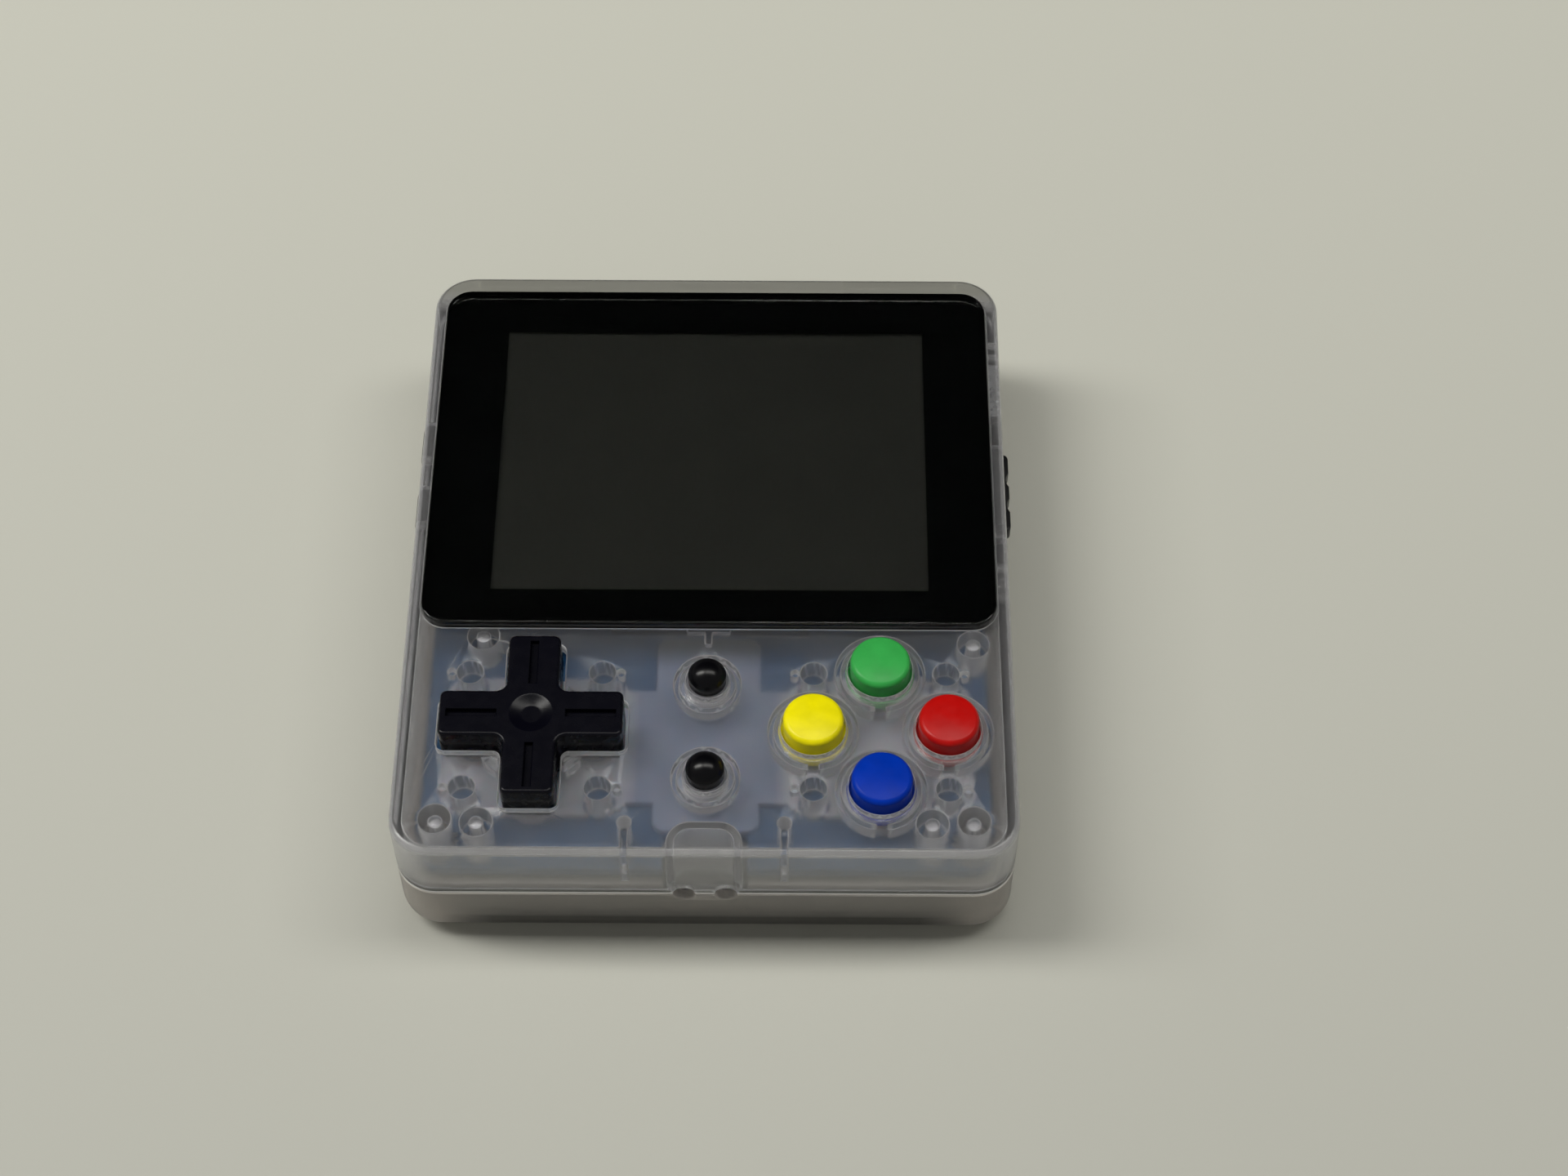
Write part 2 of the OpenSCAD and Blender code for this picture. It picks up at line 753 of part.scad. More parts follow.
// Lip that stands up inside the front shell
module lip() {
    difference() {
        union() {
            translate([0, 0, split_z - lip_root]) plate(in_w + snug, in_l + snug, lip_root, in_r);
            translate([0, 0, split_z - lip_root])
                plate(in_w - 2 * lip_gap, in_l - 2 * lip_gap, lip_root + lip_h, in_r - lip_gap);
        }
        translate([0, 0, split_z - lip_root - eps])
            plate(in_w - 2 * (lip_gap + lip_t), in_l - 2 * (lip_gap + lip_t), far,
                in_r - lip_t);
        // Clear of the anchor, the guides and the headphone socket
        box(span(0, anchor_w + 2 * anchor_gap), [front_y, anchor_y], [0, far]);
        box([jack_body_x, side_x - wall + snug], span(jack_y, jack_w + 2 * jack_gap), [0, far]);
    }
}

// Grooves for the door's tongues, and the notches where the tongues leave them
module door_grooves() {
    box(span(0, door_w + 2 * tongue_w + 2 * slide_gap),
        [door_front - slide_gap, door_front + groove_l + slide_gap],
        [tongue_z, door_top + tongue_gap + door_gap]);
    for (k = [0:tongues - 1])
        box(span(0, door_w + 2 * tongue_w + 2 * slide_gap),
            span(tongue_first + k * tongue_pitch + tongue_l / 2 + door_travel,
                tongue_l + 2 * slide_gap), [-1, door_top]);
}

module rear_shell() {
    color([0.74, 0.74, 0.78, 0.5]) difference() {
        union() {
            difference() {
                base_body(0);
                translate([0, 0, floor_t])
                    soft_slab(in_w, in_l, split_z - floor_t + eps, in_r, inner_edge_r, below = true);
            }
            lip();
            case_corners() post([0, 0], rear_boss_d, floor_t - snug, case_boss_z - lip_gap);
            // Battery bay
            box(span(0, bay_w + 2 * bay_side), [bay_front - bay_wall, bay_back + bay_wall],
                [floor_t - snug, bay_top + bay_roof]);
            // Speaker ring
            translate([0, speaker_y, floor_t - snug])
                cylinder(d = speaker_d + 2 * speaker_ring_t, h = speaker_ring_h);
        }
        box(span(0, bay_w), [bay_front, bay_back], [-1, bay_top]);
        // Door opening and its notch in the back wall
        box(span(0, door_w + 2 * slide_gap), [door_front - slide_gap, back_y + 1],
            [-1, door_top + door_gap]);
        box(span(0, door_w + 2 * slide_gap), [back_y - wall - slide_gap - door_gap, back_y + 1],
            [-1, skirt_top + tongue_gap + door_gap]);
        door_grooves();
        // Window for the battery contacts
        box([bay_w / 2 - eps, contact_x + contact_l + contact_gap],
            span(bay_y, contact_w + 2 * contact_gap), [contact_z - bay_gap, bay_top + far]);
        // Speaker seat and grille
        translate([0, speaker_y, floor_t]) cylinder(d = speaker_d + 2 * speaker_gap, h = far);
        post([0, speaker_y], grille_d, -1, floor_t + 1);
        for (ring = [1:grille_rings], k = [0:6 * ring - 1])
            rotate_about([0, speaker_y], 60 / ring * k)
                post([grille_pitch * ring, speaker_y], grille_d, -1, floor_t + 1);
        strap_holes();
        // Screw holes from below
        case_corners() {
            post([0, 0], screw_hole_d, -1, far);
            post([0, 0], head_d + 2 * head_gap, -1, screw_seat);
        }
    }
}

module battery_door() {
    color([0.74, 0.74, 0.78, 0.5]) difference() {
        union() {
            intersection() {
                base_body(door_base);
                union() {
                    box(span(0, door_w), [door_front, back_y], [0, door_top]);
                    box(span(0, door_w), [back_y - wall, back_y], [0, skirt_top]);
                }
            }
            for (k = [0:tongues - 1])
                box(span(0, door_w + 2 * tongue_w),
                    [tongue_first + k * tongue_pitch, tongue_first + k * tongue_pitch + tongue_l],
                    [tongue_z + tongue_gap, door_top]);
        }
        for (k = [0:grips - 1])
            box(span(0, grip_w), span(grip_y - grip_pitch * k, grip_groove),
                [-1, door_base + grip_depth]);
    }
}

// ---- Screen ----

module screen_lens() {
    color([0.02, 0.02, 0.03]) translate([0, lens_y, lens_bottom])
        soft_slab(lens_w, lens_l, lens_t, lens_r, lens_edge_r);
}

module lens_tape() {
    color([0.05, 0.05, 0.05]) difference() {
        translate([0, lens_y, ledge_z + snug / 2])
            plate(lens_w - 2 * tape_inset, lens_l - 2 * tape_inset, tape_t - snug,
                lens_r - tape_inset);
        display_window(under_deck);
    }
}

module lcd_glass() {
    color([0.12, 0.12, 0.11])
        box(span(0, glass_w), span(active_y, glass_l), [glass_bottom, glass_top]);
}

module lcd_backlight() {
    color([0.85, 0.85, 0.86]) difference() {
        box(span(0, glass_w), span(active_y, glass_l), [backlight_bottom, glass_bottom - snug]);
        box(span(0, active_w + 2 * tray_rim), span(active_y, active_l + 2 * tray_rim),
            [glass_bottom - tray_depth, far]);
    }
}

module lcd_pads() {
    color([0.15, 0.15, 0.16])
        for (x = pad_x)
            box(span(x, pad_w), span(pad_y, pad_l), [board_z + snug, backlight_bottom - snug]);
}

module lcd_flex() {
    color([0.75, 0.5, 0.15]) translate([-flex_w / 2, glass_front, 0])
        rotate([90, 0, 90]) linear_extrude(flex_w)
            translate([0, (backlight_bottom + board_z) / 2]) {
                difference() {
                    circle(flex_r);
                    circle(flex_r - flex_t);
                    translate([0, -far]) square([far, 2 * far]);
                }
                translate([-eps, flex_r - flex_t]) square([flex_top_l, flex_t]);
                translate([-eps, -flex_r]) square([flex_tail_l, flex_t]);
            }
}

module lcd_connector() {
    color([0.85, 0.82, 0.7])
        box(span(0, connector_w), from(glass_front + flex_tail_l + snug, [0, connector_l]),
            from(board_z, [snug, connector_h]));
}

// ---- Board and what it carries ----

module main_board() {
    color([0.1, 0.25, 0.5]) difference() {
        translate([0, board_y, board_bottom]) plate(board_w, board_l, board_t, board_r);
        case_corners() post([0, 0], boss_d + 2 * boss_hole_gap, 0, far);
        for (p = board_bosses) post(p, board_hole_d, 0, far);
        box(span(0, anchor_w + 2 * anchor_gap), [front_y, anchor_y + anchor_gap], [0, far]);
        box([jack_body_x - jack_gap, side_x], span(jack_y, jack_w + 2 * jack_gap), [0, far]);
    }
}

module button_sheet() {
    color([0.78, 0.8, 0.84, 0.7]) difference() {
        union() {
            for (p = [dpad_pos, face_pos])
                translate([p[0], p[1], board_z + snug])
                    plate(lobe_w, lobe_l, sheet_t - snug, lobe_r);
            box([dpad_pos[0], face_pos[0]], span(ctrl_y, web_l), [board_z + snug, sheet_top]);
            translate([0, (menu_lobe_front + menu_lobe_back) / 2, board_z + snug])
                plate(menu_lobe_w, menu_lobe_back - menu_lobe_front, sheet_t - snug, menu_lobe_r);
            for (p = face_places)
                post(p, face_key_d + 2 * face_ring_w, board_z + snug, ring_top);
            for (p = menu_places)
                post(p, menu_key_d + 2 * menu_ring_w, board_z + snug, ring_top);
            at_arms(dpad_pos)
                post([0, 0], dpad_key_d + 2 * face_ring_w, board_z + snug, dpad_ring_top);
            post(dpad_pos, pivot_post_d, board_z + snug,
                dpad_pivot_z - dpad_pivot_r - flange_gap);
        }
        for (p = face_places) post(p, face_key_d + 2 * ring_gap, 0, far);
        for (p = menu_places) post(p, menu_key_d + 2 * ring_gap, 0, far);
        at_arms(dpad_pos) post([0, 0], dpad_key_d + 2 * dpad_ring_gap, 0, far);
        for (p = [dpad_pos, face_pos])
            at_corners(p, post_reach, post_reach) post([0, 0], post_d + 2 * post_gap, 0, far);
    }
}

module audio_jack() {
    color([0.04, 0.04, 0.05]) difference() {
        union() {
            box([jack_body_x, jack_body_x + jack_l], span(jack_y, jack_w), span(jack_z, jack_h));
            tube_x(jack_nose_r, [jack_body_x + jack_l - 1, jack_mouth_x], jack_y, jack_z);
        }
        tube_x(jack_r, [jack_mouth_x - jack_bore_l, side_x + 1], jack_y, jack_z);
    }
}

module usb_port() {
    inner_x = usb_mouth_x - usb_depth;
    color([0.75, 0.76, 0.76]) difference() {
        box([inner_x, usb_mouth_x], span(usb_y, usb_w), from(board_z, [snug, usb_h]));
        box([inner_x + 1, usb_mouth_x + 1], span(usb_y, usb_w - 2 * usb_wall),
            from(board_z, [snug + usb_wall, usb_h - usb_wall]));
    }
    color([0.05, 0.05, 0.05])
        box([inner_x + 1 - snug, usb_mouth_x - 1], span(usb_y, usb_tongue_w), usb_tongue_z);
}

module card_slot() {
    color([0.78, 0.78, 0.78]) difference() {
        box(span(0, slot_w), [slot_mouth_y - slot_l, slot_mouth_y], from(board_z, [snug, slot_h]));
        box(span(0, card_w + 2 * card_gap), [slot_mouth_y - slot_l + slot_back, back_y],
            [card_z - card_gap + snug, card_z + card_t + card_gap]);
    }
}

module memory_card() {
    outer_y = back_y - card_in;
    color([0.06, 0.06, 0.07]) difference() {
        translate([0, outer_y - card_l / 2, card_z]) plate(card_w, card_l, card_t, card_r);
        // Groove for the nail at the outer end
        box(span(0, card_w + 1), from(outer_y - card_grip_y, [0, card_grip_w]),
            [card_z + card_t - 0.2, far]);
    }
}

module led_holder() {
    x = side_x - wall - plate_gap;
    color([0.05, 0.05, 0.06])
        box([x - led_depth, x], span(led_y, led_l), [board_z + snug, side_z + 2 * led_hole_r]);
}

module power_slider() {
    ridge = slider_l / ridges;
    face_x = side_x + slider_proud;
    color([0.04, 0.04, 0.05]) {
        difference() {
            union() {
                box([slider_plate_x - snug, side_x], span(slider_y, slider_l),
                    span(side_z, slider_h));
                translate([side_x, slider_y, side_z - slider_h / 2])
                    plate(2 * slider_proud, slider_l, slider_h, knob_end_r);
            }
            for (k = [1:ridges - 1])
                post([face_x + hollow_out, slider_y - slider_l / 2 + k * ridge], 2 * hollow_r,
                    0, far);
        }
        box([slider_plate_x - plate_t, slider_plate_x], span(slider_y, slider_plate_l),
            span(side_z, slider_plate_h));
        box([slider_plate_x - plate_t - lever_l, slider_plate_x - plate_t + snug],
            span(slider_y, lever_w), lever_z);
    }
}

module power_switch() {
    x = slider_plate_x - plate_t - plate_gap;
    color([0.72, 0.72, 0.72]) difference() {
        box([x - switch_depth, x], span(switch_y, switch_l), from(board_z, [snug, switch_h]));
        box([x - lever_l, far + x], [slider_y - lever_w / 2 - slider_travel - lever_gap,
            slider_y + lever_w / 2 + lever_gap], [lever_z[0] - lever_gap, lever_z[1] + lever_gap]);
    }
}

module volume_key(y) {
    inner_x = -key_plate_x + plate_t;
    box([-side_x - key_proud, -key_plate_x + snug], span(y, key_l), span(side_z, key_h));
    box([-key_plate_x, inner_x], span(y, key_l + 2 * key_plate_rim),
        span(side_z, key_h + 2 * key_plate_lip));
    tube_x(plunger_r, [inner_x - snug, inner_x + plunger_l], y, plunger_z);
}

module volume_up_key() {
    color([0.07, 0.07, 0.08]) volume_key(key_y + key_pitch / 2);
}

module volume_down_key() {
    color([0.07, 0.07, 0.08]) volume_key(key_y - key_pitch / 2);
}

module volume_switches() {
    x = -key_plate_x + plate_t + plunger_l + key_travel + tact_gap;
    color([0.7, 0.7, 0.7])
        for (s = [-0.5, 0.5])
            box([x, x + key_tact[0]], span(key_y + s * key_pitch, key_tact[1]),
                from(board_z, [snug, key_tact[2]]));
}

module shoulder(x) {
    inner_y = shoulder_plate_y - plate_t;
    color([0.07, 0.07, 0.08]) {
        box(span(x, shoulder_w), [shoulder_plate_y - snug, back_y + shoulder_proud],
            span(shoulder_z, shoulder_h));
        box(span(x, shoulder_w + 2 * shoulder_rim), [inner_y, shoulder_plate_y],
            shoulder_plate_z);
        translate([x, inner_y + snug, plunger_z]) rotate([90, 0, 0])
            cylinder(r = shoulder_plunger_r, h = plunger_l + snug);
    }
}

module left_shoulder() {
    shoulder(-shoulder_x);
}

module right_shoulder() {
    shoulder(shoulder_x);
}

module shoulder_switches() {
    y = shoulder_plate_y - plate_t - plunger_l - shoulder_travel - tact_gap;
    color([0.7, 0.7, 0.7])
        for (s = [-1, 1])
            box(span(s * shoulder_x, shoulder_tact[0]), [y - shoulder_tact[1], y],
                from(board_z, [snug, shoulder_tact[2]]));
}

module speaker() {
    color([0.1, 0.1, 0.11]) translate([0, speaker_y, floor_t + snug]) {
        cylinder(d = speaker_d, h = speaker_rim_h);
        cylinder(d = magnet_d, h = speaker_h);
    }
}

module battery_pack() {
    color([0.2, 0.35, 0.55]) translate([0, bay_y, battery_z])
        plate(battery_w, battery_l, battery_t, battery_r);
}

module contact_block() {
    color([0.06, 0.06, 0.06])
        box([contact_x, contact_x + contact_l], span(bay_y, contact_w),
            [contact_z, board_bottom - snug]);
}

module battery_springs() {
    color([0.85, 0.65, 0.2])
        for (k = [-1:1])
            box([battery_w / 2 + spring_gap, contact_x - snug / 2],
                span(bay_y + k * spring_pitch, spring_w), spring_z);
}

// Parts soldered under the board hang from its lower face
module hung_chip(p, size) {
    box(span(p[0], size[0]), span(p[1], size[1]), from(board_bottom - snug, [-size[2], 0]));
}

module processor() {
    color([0.08, 0.08, 0.09]) hung_chip(processor_at, processor_size);
}

module memory_chip() {
    color([0.08, 0.08, 0.09]) hung_chip(memory_at, memory_size);
}

module audio_amplifier() {
    color([0.08, 0.08, 0.09]) hung_chip(amplifier_at, amplifier_size);
}

module power_inductor() {
    color([0.2, 0.2, 0.21]) hung_chip(inductor_at, inductor_size);
}

module crystal() {
    color([0.8, 0.8, 0.8]) hung_chip(crystal_at, crystal_size);
}

module capacitors() {
    top = board_bottom - snug;
    color([0.7, 0.6, 0.4])
        for (p = capacitor_at) post(p, capacitor_d, top - capacitor_h, top);
}

// ---- Fasteners ----

// Screw with its head's seat at z and its shank upwards
module screw(p, seat, length) {
    post(p, shank_d, seat - eps, seat + length);
    translate([p[0], p[1], seat - head_t]) difference() {
        cylinder(d = head_d, h = head_t);
        for (a = [0, 90]) rotate(a) box(span(0, cross_l), span(0, cross_w), [-eps, cross_depth]);
    }
}

module case_screws() {
    color([0.6, 0.6, 0.62]) case_corners() screw([0, 0], screw_seat - snug, case_screw_l);
}

module board_screws() {
    color([0.6, 0.6, 0.62])
        for (p = board_bosses) screw(p, board_bottom - snug, board_screw_l);
}

// ---- Controls ----

// Crowned cap: the crown's arc runs smoothly into the rounding of the edge
module face_button() {
    cap_r = face_d / 2;
    flat_r = cap_r - face_edge_r;
    bottom = flange_top - face_flange_t;
    h = deck_z + face_h - bottom;
    crown_r = (pow(cap_r, 2) + pow(face_crown, 2)) / (2 * face_crown);
    edge_z = h - crown_r + sqrt(pow(crown_r - face_edge_r, 2) - pow(flat_r, 2));
    translate([0, 0, bottom]) rotate_extrude() difference() {
        union() {
            square([cap_r, edge_z]);
            translate([flat_r, edge_z]) circle(face_edge_r);
            intersection() {
                translate([0, h - crown_r]) circle(crown_r);
                square([flat_r * crown_r / (crown_r - face_edge_r), h]);
            }
            square([face_flange_d / 2, face_flange_t]);
        }
        translate([-far, -far]) square([far, 2 * far]);
    }
}

module face_key(p) {
    post(p, face_key_d, face_key_bottom, flange_top - face_flange_t);
}

// Domed cap on a flat flange
module menu_button() {
    bottom = flange_top - menu_flange_t;
    dome_r = (pow(menu_d / 2, 2) + pow(menu_dome_h, 2)) / (2 * menu_dome_h);
    dome_z = deck_z + menu_h - menu_dome_h;
    translate([0, 0, bottom]) cylinder(d = menu_flange_d, h = menu_flange_t);
    intersection() {
        translate([0, 0, bottom]) cylinder(d = menu_d, h = far);
        union() {
            translate([0, 0, deck_z + menu_h - dome_r]) sphere(dome_r);
            translate([0, 0, bottom]) cylinder(d = menu_flange_d, h = dome_z - bottom);
        }
    }
}

module menu_key(p) {
    post(p, menu_key_d, menu_key_bottom, flange_top - menu_flange_t);
}

module green_button() {
    color([0.2, 0.66, 0.3]) at(green_pos) face_button();
}

module yellow_button() {
    color([0.93, 0.88, 0.05]) at(yellow_pos) face_button();
}

module red_button() {
    color([0.72, 0.06, 0.08]) at(red_pos) face_button();
}

module blue_button() {
    color([0.02, 0.17, 0.66]) at(blue_pos) face_button();
}

module green_key() {
    color([0.3, 0.3, 0.32]) face_key(green_pos);
}

module yellow_key() {
    color([0.3, 0.3, 0.32]) face_key(yellow_pos);
}

module red_key() {
    color([0.3, 0.3, 0.32]) face_key(red_pos);
}

module blue_key() {
    color([0.3, 0.3, 0.32]) face_key(blue_pos);
}

module start_button() {
    color([0.04, 0.04, 0.05]) at(start_pos) menu_button();
}

module select_button() {
    color([0.04, 0.04, 0.05]) at(select_pos) menu_button();
}

module start_key() {
    color([0.3, 0.3, 0.32]) menu_key(start_pos);
}

module select_key() {
    color([0.3, 0.3, 0.32]) menu_key(select_pos);
}

module dpad() {
    h = dpad_top - dpad_bottom;
    dish_r = (pow(dish_d / 2, 2) + pow(dish_depth, 2)) / (2 * dish_depth);
    color([0.04, 0.04, 0.05]) at(dpad_pos) {
        difference() {
            translate([0, 0, dpad_bottom]) {
                for (a = [0, 90]) rotate(a)
                    soft_slab(dpad_span, dpad_arm_w, h, dpad_end_r, dpad_edge_r);
                // Fills the inner corners, up to the rounding of the edges
                linear_extrude(h - dpad_edge_r)
                    cross_2d(dpad_span - 2 * dpad_end_r, dpad_arm_w - 2 * eps, dpad_end_r,
                        dpad_inner_r);
                cylinder(r = dpad_flange_r, h = dpad_flange_t);
            }
            translate([0, 0, dpad_top - dish_depth + dish_r]) sphere(dish_r);
            for (k = [0:3]) rotate(90 * k)
                box([arrow_in, arrow_out], span(0, arrow_w), [dpad_top - arrow_depth, far]);
        }
        // Nub that rocks on the silicone post
        difference() {
            translate([0, 0, dpad_pivot_z]) sphere(dpad_pivot_r);
            box(span(0, far), span(0, far), [dpad_bottom, far]);
        }
    }
}

module dpad_side_keys() {
    color([0.3, 0.3, 0.32])
        for (s = [-1, 1]) post(dpad_pos + [s * dpad_key_reach, 0], dpad_key_d,
            dpad_key_bottom, dpad_bottom);
}

module dpad_end_keys() {
    color([0.3, 0.3, 0.32])
        for (s = [-1, 1]) post(dpad_pos + [0, s * dpad_key_reach], dpad_key_d,
            dpad_key_bottom, dpad_bottom - dpad_key_gap);
}

front_shell();
rear_shell();
battery_door();
screen_lens();
lens_tape();
lcd_glass();
lcd_backlight();
lcd_pads();
lcd_flex();
lcd_connector();
main_board();
button_sheet();
dpad();
dpad_side_keys();
dpad_end_keys();
green_button();
green_key();
yellow_button();
yellow_key();
red_button();
red_key();
blue_button();
blue_key();
start_button();
start_key();
select_button();
select_key();
power_slider();
power_switch();
volume_up_key();
volume_down_key();
volume_switches();
left_shoulder();
right_shoulder();
shoulder_switches();
audio_jack();
usb_port();
card_slot();
memory_card();
led_holder();
speaker();
battery_pack();
contact_block();
battery_springs();
processor();
memory_chip();
audio_amplifier();
power_inductor();
crystal();
capacitors();
case_screws();
board_screws();
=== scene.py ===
"""Looks of the slab handheld game console: finishes, small pieces, floor, light and camera."""
import json
from math import cos, pi, radians, sin

import bmesh
import bpy
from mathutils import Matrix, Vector

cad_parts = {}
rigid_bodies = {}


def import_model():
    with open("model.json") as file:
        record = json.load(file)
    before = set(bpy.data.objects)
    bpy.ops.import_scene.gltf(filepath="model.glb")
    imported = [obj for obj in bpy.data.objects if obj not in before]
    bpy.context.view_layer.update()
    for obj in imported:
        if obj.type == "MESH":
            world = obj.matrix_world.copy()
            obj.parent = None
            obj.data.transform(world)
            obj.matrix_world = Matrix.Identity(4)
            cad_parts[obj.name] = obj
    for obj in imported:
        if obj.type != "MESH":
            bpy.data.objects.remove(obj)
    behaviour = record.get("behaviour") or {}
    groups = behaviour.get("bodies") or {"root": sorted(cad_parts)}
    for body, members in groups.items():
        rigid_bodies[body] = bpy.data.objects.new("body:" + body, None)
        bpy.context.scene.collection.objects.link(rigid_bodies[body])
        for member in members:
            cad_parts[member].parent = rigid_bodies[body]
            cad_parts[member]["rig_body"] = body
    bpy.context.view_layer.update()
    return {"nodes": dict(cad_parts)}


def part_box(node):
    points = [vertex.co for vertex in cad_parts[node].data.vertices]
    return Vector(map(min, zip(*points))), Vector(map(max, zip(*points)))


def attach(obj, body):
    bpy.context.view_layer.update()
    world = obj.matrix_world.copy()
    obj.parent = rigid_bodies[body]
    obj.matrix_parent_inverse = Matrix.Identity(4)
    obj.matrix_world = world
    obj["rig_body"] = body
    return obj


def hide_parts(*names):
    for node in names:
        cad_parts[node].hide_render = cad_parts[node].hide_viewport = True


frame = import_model()
nodes = frame["nodes"]
MM = 0.001
SPLIT_Z = 10.1     # height of the parting line, in millimetres
DECK_Z = 19.6      # height of the deck

# ---- Camera ----

CAMERA_AT = Vector((9.78, -199.8, 307.85)) * MM
CAMERA_TURN = (33.916, -0.054, 0.318)
LENS_MM = 66.19
SENSOR_MM = 36
NEAREST = 0.01     # metres


def add_camera():
    camera = bpy.data.objects.new("camera", bpy.data.cameras.new("camera"))
    camera.data.lens = LENS_MM
    camera.data.sensor_width = SENSOR_MM
    camera.data.clip_start = NEAREST
    camera.location = CAMERA_AT
    camera.rotation_euler = [radians(a) for a in CAMERA_TURN]
    bpy.context.scene.collection.objects.link(camera)
    bpy.context.scene.camera = camera


# ---- Pieces that stand for CAD nodes, with their sharp edges broken ----

EASED = {  # width of the broken edge, in millimetres
    "front_shell": 0.14, "rear_shell": 0.26, "battery_door": 0.12, "button_sheet": 0.12,
    "power_slider": 0.12, "volume_up_key": 0.1, "volume_down_key": 0.1, "left_shoulder": 0.3,
    "right_shoulder": 0.3, "memory_card": 0.06, "audio_jack": 0.1, "usb_port": 0.05,
    "screen_lens": 0.1, "main_board": 0.08, "lcd_connector": 0.08, "led_holder": 0.08,
    "processor": 0.1, "memory_chip": 0.08, "audio_amplifier": 0.08, "power_inductor": 0.15,
    "crystal": 0.12, "speaker": 0.15, "battery_pack": 0.5, "card_slot": 0.06,
    "contact_block": 0.1, "power_switch": 0.06,
}
SHARP = radians(35)
MERGE = 0.002
FACE_WEIGHT = 100
shown = {}         # the eased piece that stands for each of these nodes


def by_round_holes(edge):
    """Tells whether an edge of the front half lies by the status lights or the jack."""
    middle = (edge.verts[0].co + edge.verts[1].co) / 2
    for low, high in (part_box("led_holder"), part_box("audio_jack")):
        if middle.x > low.x and low.y < middle.y < high.y and low.z < middle.z < high.z:
            return True
    return False


def ease(name, width):
    """A copy of a CAD node whose sharp edges are broken, so that they catch the light."""
    bm = bmesh.new()
    bm.from_mesh(nodes[name].data)
    bmesh.ops.remove_doubles(bm, verts=bm.verts, dist=MERGE * MM)
    edges = []
    for edge in bm.edges:
        if edge.is_manifold and edge.calc_face_angle(0) > SHARP:
            if name == "front_shell" and by_round_holes(edge):
                edge.smooth = False  # holes this small keep their sharp rim
            else:
                edges.append(edge)
    bmesh.ops.bevel(bm, geom=edges, offset=width * MM, offset_type="OFFSET", segments=2,
                    profile=0.5, affect="EDGES", clamp_overlap=False,
                    face_strength_mode="ALL")
    for face in bm.faces:
        face.smooth = True
    piece = add_mesh(name + "_eased", bm)
    even_normals(piece).use_face_influence = True
    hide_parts(name)
    shown[name] = piece
    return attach(piece, nodes[name]["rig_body"])


def even_normals(piece):
    """Normals that follow the larger faces, so that flat faces look flat."""
    normals = piece.modifiers.new("normals", "WEIGHTED_NORMAL")
    normals.weight = FACE_WEIGHT
    normals.keep_sharp = True
    return normals


def add_mesh(name, bm):
    mesh = bpy.data.meshes.new(name)
    bm.to_mesh(mesh)
    bm.free()
    piece = bpy.data.objects.new(name, mesh)
    bpy.context.scene.collection.objects.link(piece)
    return piece


# ---- Finishes ----

RANGE = ("From Min", "From Max", "To Min", "To Max")
MIX_FIRST, MIX_SECOND, MIX_RESULT = 6, 7, 2  # the colour sockets of a Mix node


